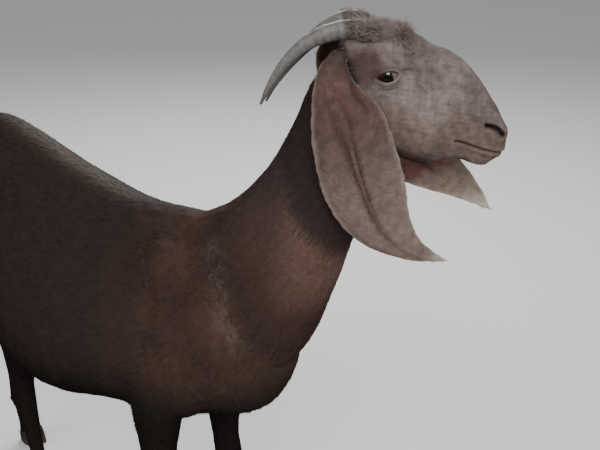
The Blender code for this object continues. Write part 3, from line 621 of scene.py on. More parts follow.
def largest_shell(mesh):
    """Remove every shell but the largest."""
    first, second = edges_of(mesh).T
    label = np.arange(len(mesh.vertices))
    while True:
        least = np.minimum(label[first], label[second])
        fresh = label.copy()
        np.minimum.at(fresh, first, least)
        np.minimum.at(fresh, second, least)
        fresh = fresh[fresh]
        if np.array_equal(fresh, label):
            break
        label = fresh
    keep = np.argmax(np.bincount(label))
    shape = bmesh.new()
    shape.from_mesh(mesh)
    loose = [vertex for vertex in shape.verts if label[vertex.index] != keep]
    bmesh.ops.delete(shape, geom=loose, context="VERTS")
    refine_face(shape)
    shape.to_mesh(mesh)
    shape.free()


def refine_face(shape):
    """Halve the mesh round the eyes and on the muzzle."""
    points = np.array([vertex.co for vertex in shape.verts])
    along, out, up = axis_places(points)
    near = (along > 0.15) & (abs(out) < 0.06) & (up > -0.08) & (up < 0.09)
    for side, _ in SIDES:
        centre = axis_point(EYE_ALONG, side * (EYE_OUT + 0.01), EYE_UP)
        near |= np.linalg.norm(points - centre, axis=1) < 0.03
    edges = [edge for edge in shape.edges
             if near[edge.verts[0].index] and near[edge.verts[1].index]]
    bmesh.ops.subdivide_edges(shape, edges=edges, cuts=1, use_grid_fill=True)
    many = [face for face in shape.faces if len(face.verts) > 4]
    bmesh.ops.triangulate(shape, faces=many)


def near_folds(mesh, points, edges, triangles, steps):
    """One at the corners of triangles that face against their surroundings, less some steps away."""
    normals = normals_of(mesh, points)
    a, b, c = (points[triangles[:, column]] for column in range(3))
    facing = dot(unit(np.cross(b - a, c - a)), unit(normals[triangles].sum(axis=1)))
    share = np.zeros(len(points))
    share[triangles[facing < FOLD_LIMIT].ravel()] = 1.0
    for _ in range(steps):
        share = np.maximum(share, average(share, edges))
    return share


def unfold(mesh, points, edges):
    """Smooth the few places where the mesh is folded."""
    triangles = triangles_of(mesh)
    for _ in range(UNFOLD_ROUNDS):
        share = near_folds(mesh, points, edges, triangles, 5)
        points = relax(points, edges, 6, np.minimum(share * 8.0, 0.8), (1.0,))
    return points


def part_labels(points):
    """The flesh solid that lies nearest to each point."""
    corners, faces, owner = [], [], []
    for index, name in enumerate(PARTS):
        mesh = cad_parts[name].data
        start = len(corners)
        corners.extend(vertex.co for vertex in mesh.vertices)
        for polygon in mesh.polygons:
            faces.append([start + corner for corner in polygon.vertices])
            owner.append(index)
    tree = BVHTree.FromPolygons(corners, faces)
    owner = np.array(owner)
    return owner[[tree.find_nearest(Vector(point))[2] for point in points]]


def ear_sheet(part):
    """Middle surface of an ear and its outward normals, row by row."""
    side = -1.0 if part == EAR_RIGHT else 1.0
    rear, front = (smooth_rows(edge, EAR_ROWS)[:, None, :] for edge in EAR_EDGES[part])
    across = smooth_rows(list(zip(EAR_OUT, EAR_ARCH)), EAR_ROWS)[:, None, :]
    w = np.linspace(-1.0, 1.0, EAR_COLUMNS)[None, :]
    share = (w + 1.0) / 2.0
    forward = rear[..., 0] * (1.0 - share) + front[..., 0] * share
    up = rear[..., 1] * (1.0 - share) + front[..., 1] * share
    fold = sum(bump_at(w, place, 0.16) for place in EAR_FOLDS)
    v = np.linspace(0.0, 1.0, EAR_ROWS)[:, None]
    depth = EAR_FOLD_DEPTH * np.sin(math.pi * v) ** 2
    out = across[..., 0] + across[..., 1] * (1.0 - w * w) - depth * fold
    sheet = head_point(forward, side * out, up)
    normal = unit(np.cross(np.gradient(sheet, axis=0), np.gradient(sheet, axis=1)))
    normal *= np.sign(normal @ LEFT * side)[..., None]
    return sheet, normal


def ear_places(points, vertex_normals, labels):
    """Down, across and outer or inner face for every vertex of the ears, else zeros."""
    found = np.zeros((len(points), 3))
    normals = np.zeros((len(points), 3))
    for part in EARS:
        sheet, normal = ear_sheet(part)
        mine = np.flatnonzero(labels == part)
        close = nearest(sheet.reshape(-1, 3), points[mine])
        normals[mine] = normal.reshape(-1, 3)[close]
        found[mine, 0] = (close // EAR_COLUMNS) / (EAR_ROWS - 1.0)
        found[mine, 1] = (close % EAR_COLUMNS) / (EAR_COLUMNS - 1.0) * 2.0 - 1.0
        found[mine, 2] = np.sign(dot(vertex_normals[mine], normals[mine]) + 0.25)
    return found, normals


def almond_edge(angles, grow=0.0):
    """The edge of the lid opening in its own plane: long way, high way."""
    high = (LID_HEIGHT / 2.0 + grow) * np.sin(angles) * abs(np.sin(angles)) ** 0.35
    return (LID_LENGTH / 2.0 + grow) * np.cos(angles), high


def almond(points, side):
    """How far points lie outside the lid opening, how high they lie in it, and whose side."""
    along, out, up = axis_places(points)
    a, u = along - EYE_ALONG, up - EYE_UP
    long = a * math.cos(LID_TILT) + u * math.sin(LID_TILT)
    high = -a * math.sin(LID_TILT) + u * math.cos(LID_TILT)
    angle = np.arctan2(high / (LID_HEIGHT / 2.0), long / (LID_LENGTH / 2.0))
    return np.hypot(long, high) - np.hypot(*almond_edge(angle)), high, side * out > 0.0


def seat_eyes(points):
    """Press the skin behind the eyeball in the opening and round the lids over it."""
    points = points.copy()
    low = EYE_RADIUS + 0.0003
    for side, _ in SIDES:
        centre = axis_point(EYE_ALONG, side * EYE_OUT, EYE_UP)
        away = points - centre
        distance = np.linalg.norm(away, axis=1)
        reach, high, own = almond(points, side)
        near = own & (distance < 0.034)
        crease = np.where(high > 0.0, bump_at(reach, 0.0062, 0.0014) * 0.0007,
                          bump_at(reach, 0.0058, 0.0014) * 0.0009)
        roll = bump_at(reach, 0.0032, 0.0018) * 0.0007
        lid = low + (np.maximum(distance, low) - low) * ramp(reach, -0.0002, 0.003)
        lid = lid + (roll - crease) * ramp(abs(high), 0.0, 0.004)
        wanted = np.where(reach < 0.0, EYE_RADIUS - 0.0015, lid)
        points[near] = centre + away[near] * (wanted[near] / distance[near])[:, None]
    return points


def face_lines(points, normals, labels):
    """Carve the mouth, lips, nostrils, folds and veins of the face."""
    along, _, up = axis_places(points)
    aside = ramp(abs(normals @ LEFT), 0.05, 0.35)
    deep = (along > 0.16) * ramp(from_path(along, up, MOUTH)[1], 0.0, 0.12)
    push = -stroke(along, up, MOUTH, 0.0013) * 0.0026 * deep
    push += stroke(along, up - 0.0046, MOUTH, 0.003) * 0.0012 * deep
    push += stroke(along, up + 0.0046, MOUTH, 0.003) * 0.0013 * deep
    slit, share = from_path(along, up, NOSTRIL)
    wide = 0.0015 + 0.0019 * ramp(share, 0.1, 0.75)
    push -= np.exp(-(slit / wide) ** 2) * 0.0052 * aside
    push += stroke(along, up - 0.0058, NOSTRIL, 0.003) * 0.0016 * aside
    for path, width, height in FACE_STROKES:
        gap, share = from_path(along, up, path)
        fade = np.sin(math.pi * np.clip(share, 0.04, 0.96)) ** 0.5
        push += bump_at(gap, 0.0, width) * height * fade * aside
    push -= bump_at(along, 0.238, 0.014) * bump_at(up, 0.02, 0.014) * 0.003
    push += (along > 0.02) * ripple(points, 0.011, 3) * 0.00022
    return points + normals * (push * (labels == HEAD))[:, None]


def ear_groove(path, down, across, low, high):
    """Distance from a groove of the ear, and a fade towards its two ends."""
    gap, share = from_path(down * EAR_SPAN, across, [(v * EAR_SPAN, w) for v, w in path])
    return gap, np.sin(math.pi * np.clip(share, low, high))


def ear_lines(points, ears, ear_normals):
    """Fold the ears along their grooves and roll their edges."""
    down, across = ears[:, 0], ears[:, 1]
    push = np.zeros(len(points))
    for path in EAR_GROOVES:
        gap, fade = ear_groove(path, down, across, 0.05, 0.95)
        push -= bump_at(gap, 0.0, 0.075) * 0.0034 * fade
    push += bump_at(across, -0.66, 0.14) * 0.0012 * ramp(down, 0.2, 0.4)
    push += ripple(points, 0.045, 11) * 0.0007 * ramp(down, 0.3, 0.6)
    return points + ear_normals * push[:, None]


def body_muscle(points, normals, labels):
    """Shallow hollows and swells of the shoulder, ribs, flank and thigh."""
    x, y, z = (points - SHIFT).T
    push = ripple(points, 0.06, 5) * 0.0005
    for path, width, height in MUSCLES + RIBS:
        push += stroke(x, z, path, width) * height
    trunk = np.isin(labels, (TORSO, NECK) + LEGS)
    return points + normals * (push * trunk * ramp(abs(y), 0.03, 0.07))[:, None]


def coat_depth(points, labels):
    """How far each part's skin is drawn inside its solid."""
    depth = np.where(labels >= EAR_RIGHT, SWELL + EAR_DEPTH, SWELL + SKIN_DEPTH)
    return depth + POLL_DEPTH * poll_share(points) * (labels == HEAD) + TAIL_DEPTH * (labels == TAIL)


def poll_share(points):
    """One on the woolly top of the head, fading to zero round it."""
    along, out, up = axis_places(points)
    return (band(along, -0.045, -0.022, 0.044, 0.062) * fall(abs(out), 0.026, 0.038)
            * ramp(up, 0.04, 0.056))


def dome_share(points):
    """One on the top of the head as far as the solid locks reach."""
    along, out, up = axis_places(points)
    return (band(along, -0.045, -0.022, 0.092, 0.112) * fall(abs(out), 0.038, 0.05)
            * ramp(up, 0.04, 0.054))


def pocket_share(points, normals):
    """One in the small pockets of the top of the head, where the skin faces inward."""
    along, _, up = axis_places(points)
    radial = unit(points - axis_point(along, along * 0.0, along * 0.0))
    top = band(along, -0.045, -0.022, 0.1, 0.12) * ramp(up, 0.038, 0.048)
    return top * fall(dot(normals, radial), 0.15, 0.45)


def build_skin():
    """The one skin, with its labels, ear places and markings."""
    mesh = thin_out(fused_flesh())
    largest_shell(mesh)
    points = places_of(mesh)
    edges = edges_of(mesh)
    labels = part_labels(points)
    calm = np.where(labels == HEAD, 0.55, np.where(labels >= EAR_RIGHT, 0.45, 1.0))
    blend = average(calm, edges, 2)
    points = relax(points, edges, 13, blend)
    points = relax(points, edges, 64, (blend > 0.9).astype(float))
    loose = np.maximum(dome_share(points) * (labels == HEAD), labels == TAIL)
    points = relax(points, edges, 90, loose, PLAIN)
    depth = average(coat_depth(points, labels), edges, 2)
    points = points - normals_of(mesh, points) * depth[:, None]
    ears, ear_normals = ear_places(points, normals_of(mesh, points), labels)
    points = ear_lines(points, ears, ear_normals * (labels >= EAR_RIGHT)[:, None])
    points = face_lines(points, normals_of(mesh, points), labels)
    points = body_muscle(points, normals_of(mesh, points), labels)
    points = seat_eyes(unfold(mesh, points, edges))
    skin = Skin()
    skin.mesh, skin.points, skin.edges, skin.labels, skin.ears = mesh, points, edges, labels, ears
    skin.normals = normals_of(mesh, points)
    skin.colours = markings(skin)
    skin.triangles = triangles_of(mesh)
    skin.even = near_folds(mesh, points, edges, skin.triangles, 2) == 0.0
    skin.spots = atlas(skin)
    shade_smooth(mesh)
    mark(mesh, skin.colours, points)
    return skin


# Markings

def markings(skin):
    """The coat's colour at every vertex of the skin."""
    points, labels = skin.points, skin.labels
    shares = np.column_stack([labels == HEAD, labels >= EAR_RIGHT]).astype(float)
    is_head, is_ear = average(shares, skin.edges, 3).T
    forward, _, height = head_places(points)
    edge = height + 0.35 * forward + ripple(points, 0.05, 21) * 0.008
    colours = laid(body_colours(points), head_colours(points), is_head * ramp(edge, -0.115, -0.085))
    colours = laid(colours, ear_colours(points, skin.ears), is_ear)
    speck = 1.0 + 0.1 * ripple(points, 0.012, 8) + 0.07 * ripple(points, 0.004, 9)
    return np.clip(colours * speck[:, None], 0.002, 1.0)


def ridge_share(x, y, z, width):
    """One on the ridge of the back, fading to zero beside it."""
    return bump_at(y, 0.0, width) * ramp(z, 0.7, 0.76) * band(x, -0.38, -0.16, -0.04, 0.14)


def body_colours(points):
    """Dark brown, redder on the chest and shoulder, near black low on the legs, with a painted shadow across
    the upper neck, painted light on the throat and partly painted rim light along the back.
    """
    x, y, z = (points - SHIFT).T
    tones = Tones(UMBER, len(points))
    chest = ramp(x, 0.06, 0.24) * band(z, 0.4, 0.6, 0.8, 0.9)
    chest = chest * (1.0 - 0.35 * ramp(x, 0.2, 0.28) * ramp(z, 0.64, 0.74))
    tones.lay(CHESTNUT, chest * (0.75 + 0.25 * ripple(points, 0.09, 2)))
    tones.gain(ramp(x, 0.28, 0.37) * ramp(z, 0.75, 0.85), NECK_GAIN)
    # Painted shadow of the ear and head across the upper neck: faint at first, darker past its edge
    shadow_edge = (x - 0.391) * 0.806 + (z - 0.847) * 0.592 + ripple(points, 0.06, 12) * 0.004
    tones.lay(SABLE, 0.06 * ramp(shadow_edge, -0.06, 0.0) + 0.46 * ramp(shadow_edge, 0.006, 0.024))
    # Painted light on the front of the throat, below the edge of the painted shadow
    throat_light = ramp(x, 0.36, 0.42) * ramp(z, 0.68, 0.75) * fall(shadow_edge, -0.004, 0.014)
    tones.lay(THROAT_PAINTED_LIGHT, throat_light * 0.75)
    tones.lay(SABLE, fall(z, 0.44, 0.6) * 0.92)
    tones.lay(SABLE, fall(z, 0.4, 0.5) * 0.4)
    grizzled = stroke(x, z, SHOULDER_STREAK, 0.018) * np.clip(0.5 + ripple(points, 0.007, 4), 0, 1)
    tones.lay(GRIZZLE_AND_RIM_LIGHT, grizzled * (y < 0.0) * 0.34)
    # Paler hair along the ridge of the back, partly its own colour and partly painted rim light from behind
    tones.lay(GRIZZLE_AND_RIM_LIGHT, ridge_share(x, y, z, 0.016) * 0.28)
    return tones.rows


def head_colours(points):
    """Grey taupe roan with mottles, redder at the temple, pink lips, and painted shade in the folds, under
    the jaw, in the crease by the ear, in the mouth's slit and in the nostrils.
    """
    along, _, up = axis_places(points)
    forward, _, height = head_places(points)
    tones = Tones(TAUPE, len(points))
    mottle = np.clip(ripple(points, 0.02, 31) * 0.5 + ripple(points, 0.008, 32) * 0.5, -1, 1)
    tones.gain(0.24 * mottle)
    pale = bump_at(along, 0.125, 0.045) * bump_at(up, 0.0, 0.035)
    tones.lay(PALE_TAUPE, pale * (0.3 + 0.25 * mottle))
    tones.gain(-0.3 * ramp(along, 0.138, 0.17))
    temple = np.hypot(along - 0.023, (up - 0.02) * 0.9)
    tones.lay(TEMPLE, fall(temple, 0.012, 0.032) * 0.85)
    tones.gain(-0.24 * bump_at(along, 0.085, 0.035) * ramp(up, 0.026, 0.046))
    muzzle = ramp(along, 0.13, 0.165) * fall(up, 0.004, 0.028)
    tones.gain(-np.maximum(ramp(-up, -0.005, 0.03), muzzle), WARM_LOSS)
    tones.gain(0.18 * ramp(-up, 0.018, 0.034) * ramp(along, 0.165, 0.185))
    tones.gain(0.15 * poll_share(points))
    tones.lay(RUFOUS, bump_at(along, 0.06, 0.04) * bump_at(up, -0.04, 0.03) * 0.5)
    # Painted shade on the underside of the jaw
    jaw_shade = ramp(-up - 0.12 * (0.16 - along), 0.046, 0.062) * fall(along, 0.15, 0.19)
    tones.lay(SHADE_AND_MOTTLE_BROWN, jaw_shade * 0.85)
    # Painted shade in the folds and under the poll's wool, and the dark mottles of the roan
    for path, width, share in FACE_SHADE_AND_MOTTLES:
        tones.lay(SHADE_AND_MOTTLE_BROWN, stroke(along, up, path, width) * share)
    # Painted shade in the crease between the near ear and the cheek
    tones.lay(SABLE, stroke(forward, height, EAR_CREASE_SHADE, 0.0055) * 0.85)
    front = ramp(along, 0.15, 0.175)
    tones.lay(LIP, stroke(along, up, MOUTH, 0.007) * front * 0.45)
    # Painted shade in the slit between the lips, lighter towards the front
    corner = 1.0 - 0.45 * ramp(along, 0.19, 0.235)
    tones.lay(MOUTH_SLIT_SHADE, stroke(along, up, MOUTH, 0.0016) * front * corner)
    tones.lay(LIP, stroke(along, up, NOSTRIL, 0.008) * 0.4)
    # Painted shade in the nostrils' openings
    tones.lay(NOSTRIL_SHADE, 1.3 * stroke(along, up, NOSTRIL, 0.0034))
    for side, _ in SIDES:
        reach, high, own = almond(points, side)
        rim = own & (reach < 0.02) & (along < 0.1)
        tones.lay(TEMPLE, rim * bump_at(reach, 0.003, 0.004) * 0.3)
        # A pale band under the lower lid, partly its own colour and partly a painted highlight
        tones.lay(CREAM, rim * (high < 0.0) * bump_at(reach, 0.0032, 0.0016) * 0.25)
        tones.lay(SABLE, rim * fall(reach, -0.001, 0.0008))
    return tones.rows


def ear_colours(points, ears):
    """Red-brown at the root, taupe below, painted shade in the grooves and in the crease by the cheek, pale
    at the tip.
    """
    down, across, face = ears.T
    forward, _, height = head_places(points)
    tones = Tones(EAR_TAUPE, len(points))
    tones.lay(RUFOUS, fall(down, 0.28, 0.58) * 0.9)
    tones.gain(-0.2 * bump_at(down, 0.42, 0.14))
    tones.lay(EAR_ROOT_BROWN, fall(down, 0.08, 0.26) * 0.85)
    tones.lay(TAN, (face < 0.0) * 0.85 * ramp(down, 0.4, 0.6))
    tones.lay(INNER_RED, (face < 0.0) * band(down, 0.3, 0.48, 0.72, 0.79) * 0.92)
    # Painted shade in the same crease, on the ear's outer face
    tones.lay(SABLE, stroke(forward, height, EAR_CREASE_SHADE, 0.0032) * (face > 0.0) * 0.5)
    # Painted shade in the ear's carved grooves
    for path in EAR_GROOVES:
        gap, fade = ear_groove(path, down, across, 0.08, 0.92)
        tones.lay(SHADE_AND_MOTTLE_BROWN, bump_at(gap, 0.0, 0.055) * 0.95 * fade ** 0.6)
    tones.lay(CREAM, ramp(abs(across), 0.82, 1.0) * 0.22)
    tones.lay(CREAM, ramp(down, 0.86, 0.99) * 0.8)
    tones.gain(0.12 * ripple(points, 0.018, 41))
    return tones.rows


# Coat

def coat_ways(skin):
    """The lie of the hair at every vertex, before it is smoothed."""
    points, labels, ears = skin.points, skin.labels, skin.ears
    x, y, z = (points - SHIFT).T
    aside = np.sign(y) * ramp(z, 0.7, 0.8)
    ways = np.array((-0.86, 0.0, -0.42)) + aside[:, None] * np.array((0.0, 0.25, 0.0))
    ways = laid(ways, (-0.3, 0.0, -1.0), ramp(-x, 0.36, 0.46))
    ways = laid(ways, (-0.25, 0.0, -1.0), ramp(x, 0.16, 0.34) * fall(z, 0.7, 0.85))
    ways[labels == NECK] = (-0.55, -0.18, -0.8)
    ways[np.isin(labels, LEGS)] = (-0.15, 0.0, -1.0)
    ways[labels == TAIL] = (-0.45, 0.0, -0.9)
    _, out, up = axis_places(points)
    back = axis_point(-1.0, 0.0, -0.12) - axis_point(0.0, 0.0, 0.0)
    splay = np.sign(out) * 0.15 * fall(up, 0.0, 0.06)
    mine = labels == HEAD
    ways[mine] = back + LEFT * splay[mine, None]
    for part in EARS:
        flow = unit(np.gradient(ear_sheet(part)[0], axis=0))
        mine = labels == part
        rows = np.round(ears[mine, 0] * (EAR_ROWS - 1)).astype(int)
        columns = np.round((ears[mine, 1] + 1.0) / 2.0 * (EAR_COLUMNS - 1)).astype(int)
        ways[mine] = flow[rows, columns]
    return unit(ways)


def coat_fields(skin):
    """Direction, length, width, lift and density of the hair at every vertex."""
    points, normals, edges = skin.points, skin.normals, skin.edges
    sizes = np.array([COAT[name.split("_")[0]] for name in PARTS])[skin.labels]
    fields = average(np.column_stack([coat_ways(skin), sizes]), edges, 14)
    fields[:, 3:] = refine_sizes(skin, fields[:, 3:])
    hollow = np.clip(dot(average(points, edges, 8) - points, normals), -0.0002, 0.0002)
    fields[:, 5] += np.clip(average(hollow, edges, 14) * HOLLOW_LIFT, 0.0, 0.16)
    fields[:, 6] *= 1.0 - pocket_share(points, normals)
    ways = fields[:, :3]
    fields[:, :3] = unit(ways - normals * dot(ways, normals)[:, None])
    return fields


def refine_sizes(skin, sizes):
    """Bare places and places with longer or finer hair."""
    points, labels, ears = skin.points, skin.labels, skin.ears
    x, y, z = (points - SHIFT).T
    along, out, up = axis_places(points)
    head = labels == HEAD
    length, width, lift, density = sizes.T.copy()
    muzzle = head * ramp(along, 0.13, 0.2)
    length *= 1.0 - 0.5 * muzzle
    width *= 1.0 - 0.25 * muzzle
    density *= 1.0 + 0.25 * muzzle
    mouth, _ = from_path(along, up, MOUTH)
    slit, _ = from_path(along, up, NOSTRIL)
    bare = np.minimum(ramp(mouth, 0.0012, 0.0035) + (along < 0.165), ramp(slit, 0.003, 0.006))
    density *= np.where(head, np.clip(bare, 0.0, 1.0), 1.0)
    for side, _ in SIDES:
        reach, _, own = almond(points, side)
        near = own & head & (along < 0.1) & (abs(out) > 0.03)
        density *= np.where(near, ramp(reach, 0.0012, 0.003), 1.0)
        length *= np.where(near, 0.55 + 0.45 * ramp(reach, 0.002, 0.016), 1.0)
    ridge = ridge_share(x, y, z, 0.014) * (labels == TORSO)
    length *= 1.0 + 0.4 * ridge
    lift += 0.16 * ridge
    fringe = np.isin(labels, LEGS) * fall(z, CORONET - 0.002, CORONET + 0.014)
    length *= 1.0 + 1.1 * fringe
    lift += 0.16 * fringe
    density *= 1.0 + 0.8 * fringe
    length *= 1.0 + 0.35 * bump_at(y, 0.0, 0.03) * (labels == NECK) * fall(z, 0.6, 0.8)
    is_ear = labels >= EAR_RIGHT
    density *= np.where((ears[:, 2] < 0.0) & is_ear, 0.65, 1.0)
    length *= 1.0 + 0.2 * ramp(ears[:, 0], 0.85, 1.0) * is_ear
    density *= 1.0 - 0.7 * poll_share(points) * head
    return np.column_stack([length, width, lift, density])


def scatter(skin, density, limit):
    """Corners of the triangles of random places on the skin, and the corners' weights."""
    triangles = skin.triangles
    a, b, c = (skin.points[triangles[:, column]] for column in range(3))
    area = np.linalg.norm(np.cross(b - a, c - a), axis=1) / 2.0
    weight = np.cumsum(area * density[triangles].mean(axis=1))
    count = int(min(weight[-1], limit))
    draws = (np.arange(count) + random.random(count)) / count * weight[-1]
    chosen = np.minimum(np.searchsorted(weight, draws), len(triangles) - 1)
    first, second = np.sqrt(random.random(count)), random.random(count)
    mix = np.column_stack([1.0 - first, first * (1.0 - second), first * second])
    return triangles[chosen], mix


def at(values, corners, mix):
    """Values of the vertices carried over to scattered places."""
    return np.einsum("ij,ijk->ik", mix, values[corners])


def pick(skin, corners, mix):
    """Roots, normals, colours, map places and vertices of scattered strands."""
    main = corners[np.arange(len(corners)), np.argmax(mix, axis=1)]
    roots, over, hue = (at(values, corners, mix) for values in (skin.points, skin.normals, skin.colours))
    return roots, unit(over), hue, skin.spots[main], main


def strand_faces(rings):
    """Triangles of one strand: its root, its rings and its tip."""
    quads = ring_quads(rings, 3)
    last = (rings - 1) * 3
    tip = [(last + corner, last + 3, last + (corner + 1) % 3) for corner in range(3)]
    return np.vstack([[(0, 1, 2)], quads[:, (0, 3, 2)], quads[:, (0, 2, 1)], tip])


def strands(roots, ways, normals, sizes, rings, wave, droop):
    """Points and skin-like normals of tapered strands, closed at both ends."""
    length, width, lift = sizes
    count = len(roots)
    side = unit(np.cross(normals, ways))
    turn = random.uniform(0.0, 6.3, count)
    pace = random.uniform(1.2, 2.0, count)

    def middle(share, rise):
        """The middle of the strands at a share of their length."""
        phase = turn + share * 6.3 * pace
        sway = wave * length * share * np.sin(phase)
        rise = rise + wave * length * share * np.cos(phase) * 0.7
        sink = droop * length * share * share
        return (roots + ways * (length * share)[:, None] + normals * rise[:, None]
                + side * sway[:, None] - RISE * sink[:, None])

    layers, leans = [], []
    for share in np.linspace(0.0, 1.0, rings + 1)[:-1]:
        centre = middle(share, length * lift * (share - 0.45 * share * share) - 0.0005)
        half = width / 2.0 * (1.0 - share) ** 0.6 * (0.75 + 0.5 * min(share * 3.0, 0.5))
        layers += [centre + side * half[:, None], centre - side * half[:, None],
                   centre + normals * (half * 0.45)[:, None]]
        leans += [side * LEAN, side * -LEAN, side * 0.0]
    layers.append(middle(1.0, length * lift * 0.55))
    leans.append(side * 0.0)
    facing = unit(np.stack(leans, axis=1) + normals[:, None, :]).reshape(-1, 3)
    return np.stack(layers, axis=1).reshape(-1, 3), facing


def hair_piece(name, slot, material, seeds, ways, sizes, rings, wave=0.0, droop=0.0, tip=1.1, lean=False):
    """One joined mesh of strands with colours, roots and the map for baking."""
    roots, over, hue, spots = seeds
    count, per = len(roots), 3 * rings + 1
    points, facing = strands(roots, ways, over, sizes, rings, wave, droop)
    faces = ((np.arange(count) * per)[:, None, None] + strand_faces(rings)).reshape(-1, 3)
    mesh = mesh_of(name, points, faces)
    share = np.append(np.repeat(np.arange(rings) / rings, 3), 1.0)
    across = np.append(np.tile((1.0, -1.0, 0.0), rings), 0.0) * (1.0 - share * 0.8)
    tone = np.repeat(random.uniform(0.86, 1.15, count), per) * np.tile(0.9 + (tip - 0.9) * share, count)
    colours = np.clip(np.repeat(hue, per, axis=0) * tone[:, None], 0.0, 1.0)
    mark(mesh, colours, np.repeat(roots, per, axis=0))
    corner = np.column_stack([share - 0.5, across / 2.0]) * PATCH
    flat = np.repeat(spots, per, axis=0) + np.tile(corner, (count, 1))
    layer = mesh.uv_layers.new(name="OFBake")
    layer.data.foreach_set("uv", flat[faces.ravel()].astype(np.float32).ravel())
    dress_piece(name, mesh, material, slot)
    if lean:
        mesh.normals_split_custom_set_from_vertices(facing.tolist())


def atlas(skin):
    """Place of every vertex on a flat map of the skin, part by part."""
    points, labels, ears = skin.points, skin.labels, skin.ears
    x, y, z = (points - SHIFT).T
    along, out, up = axis_places(points)
    flat = np.column_stack([(x + 0.52) / 0.95, np.arctan2(y, z - 0.62) / (2.0 * math.pi) + 0.5])
    wraps = [(NECK, (z - 0.48) / 0.62, y - (z - 0.6) * 0.2, x - 0.33),
             (HEAD, (along + 0.05) / 0.31, out, up),
             (TAIL, (z - 0.6) / 0.22, y, x + 0.47)]
    for leg in LEGS:
        middle = points[labels == leg].mean(axis=0) - SHIFT
        wraps.append((leg, z / 0.66, y - middle[1], x - middle[0]))
    for part, length, over, under in wraps:
        mine = labels == part
        flat[mine, 0] = length[mine]
        flat[mine, 1] = np.arctan2(over, under)[mine] / 6.3 + 0.5
    mine = labels >= EAR_RIGHT
    flat[mine, 0] = ears[mine, 0]
    flat[mine, 1] = (ears[mine, 1] + 1.0) / 4.0 + np.where(ears[mine, 2] < 0.0, 0.5, 0.0)
    boxes = np.array(ATLAS)[labels]
    return boxes[:, :2] + INSET + np.clip(flat, 0.0, 1.0) * (boxes[:, 2:] - 2.0 * INSET)


def grow_coat(skin, material):
    """Short hair over the whole skin, in pieces."""
    fields = coat_fields(skin)
    corners, mix = scatter(skin, fields[:, 6], TUFT_LIMIT)
    kept = skin.even[corners].all(axis=1)
    corners, mix = corners[kept], mix[kept]
    roots, over, hue, spot, main = pick(skin, corners, mix)
    ways = unit(at(fields[:, :3], corners, mix))
    sizes = at(fields[:, 3:6], corners, mix).T
    count = len(roots)
    ways = unit(ways + np.cross(over, ways) * random.normal(0.0, 0.16, count)[:, None])
    spreads = ((0.7, 1.25), (0.75, 1.25), (0.5, 1.5))
    sizes = sizes * np.array([random.uniform(*spread, count) for spread in spreads])
    for parts, name, slot in COAT_GROUPS:
        mine = np.flatnonzero(np.isin(skin.labels[main], parts))
        for number, start in enumerate(range(0, len(mine), PIECE_TUFTS)):
            some = mine[start:start + PIECE_TUFTS]
            seeds = roots[some], over[some], hue[some], spot[some]
            hair_piece("%s_%d" % (name, number + 1), slot, material, seeds, ways[some],
                       sizes[:, some], 2, lean=True)


def grow_poll(skin, material):
    """The woolly tuft on the poll and round the horns' roots."""
    poll = poll_share(skin.points) * np.isin(skin.labels, (HEAD, NECK)) * skin.even
    poll = poll * (1.0 - pocket_share(skin.points, skin.normals)) * POLL_DENSITY
    roots, over, hue, spot, _ = pick(skin, *scatter(skin, poll, POLL_STRANDS))
    horn_roots, horn_over = horn_wool()
    near = nearest(roots, horn_roots)
    roots, over = np.vstack([roots, horn_roots]), np.vstack([over, horn_over])
    hue, spot = np.vstack([hue, hue[near]]), np.vstack([spot, spot[near]])
    along, out, _ = axis_places(roots)
    back = axis_point(-1.0, 0.0, 0.1) - axis_point(0.0, 0.0, 0.0)
    fore = ramp(along, 0.03, 0.062)[:, None]
    count = len(roots)
    ways = back * (1.0 - 1.6 * fore) + LEFT * (out / 0.03)[:, None] * 0.6
    ways = ways + over * 0.35 + random.normal(0.0, 0.38, (count, 3))
    ways = unit(ways - over * (dot(ways, over) - 0.28)[:, None])
    spreads = ((0.008, 0.016), (0.0007, 0.0013), (0.15, 0.4))
    sizes = [random.uniform(*spread, count) for spread in spreads]
    # The wool's tips grow 2.2 times lighter: partly their own pale tips, partly painted light from behind on
    # the curls
    hair_piece("poll_hair", "head_coat", material, (roots, over, hue * 0.87, spot), ways, sizes, 8,
               wave=0.17, droop=0.12, tip=2.2)


def grow_tail(skin, material):
    """The long hair of the tail."""
    x = skin.points[:, 0] - SHIFT[0]
    tail = (skin.labels == TAIL) * ramp(-x, 0.43, 0.47) * TAIL_DENSITY
    roots, over, hue, spot, _ = pick(skin, *scatter(skin, tail, TAIL_STRANDS))
    count = len(roots)
    ways = unit(np.array((-0.12, 0.0, -1.0)) + over * 0.1 + random.normal(0.0, 0.08, (count, 3)))
    spreads = ((0.035, 0.075), (0.0018, 0.0032), (0.05, 0.16))
    sizes = [random.uniform(*spread, count) for spread in spreads]
    sizes[0] = np.minimum(sizes[0], np.clip(roots[:, 2] - 0.6, 0.02, 0.2))
    hair_piece("tail_hair", "tail_hair", material, (roots, over, hue, spot), ways, sizes, 6, wave=0.05)


def horn_wool():
    """Roots and outward directions of the wool that hides the horns' first stretch."""
    roots, over = [], []
    for side, word in SIDES:
        rows = smooth_rows(HORNS["horn_" + word], 60)[6:20]
        centre, radius, _, across, up = horn_line(side, rows)
        row = (random.random(HORN_WOOL) ** 1.4 * len(rows)).astype(int)
        turn = random.uniform(0.0, 2.0 * math.pi, HORN_WOOL)
        away = across[row] * np.cos(turn)[:, None] + up[row] * np.sin(turn)[:, None]
        roots.append(centre[row] + away * radius[row][:, None] * 0.95)
        over.append(away)
    return np.vstack(roots), np.vstack(over)


# Eyes

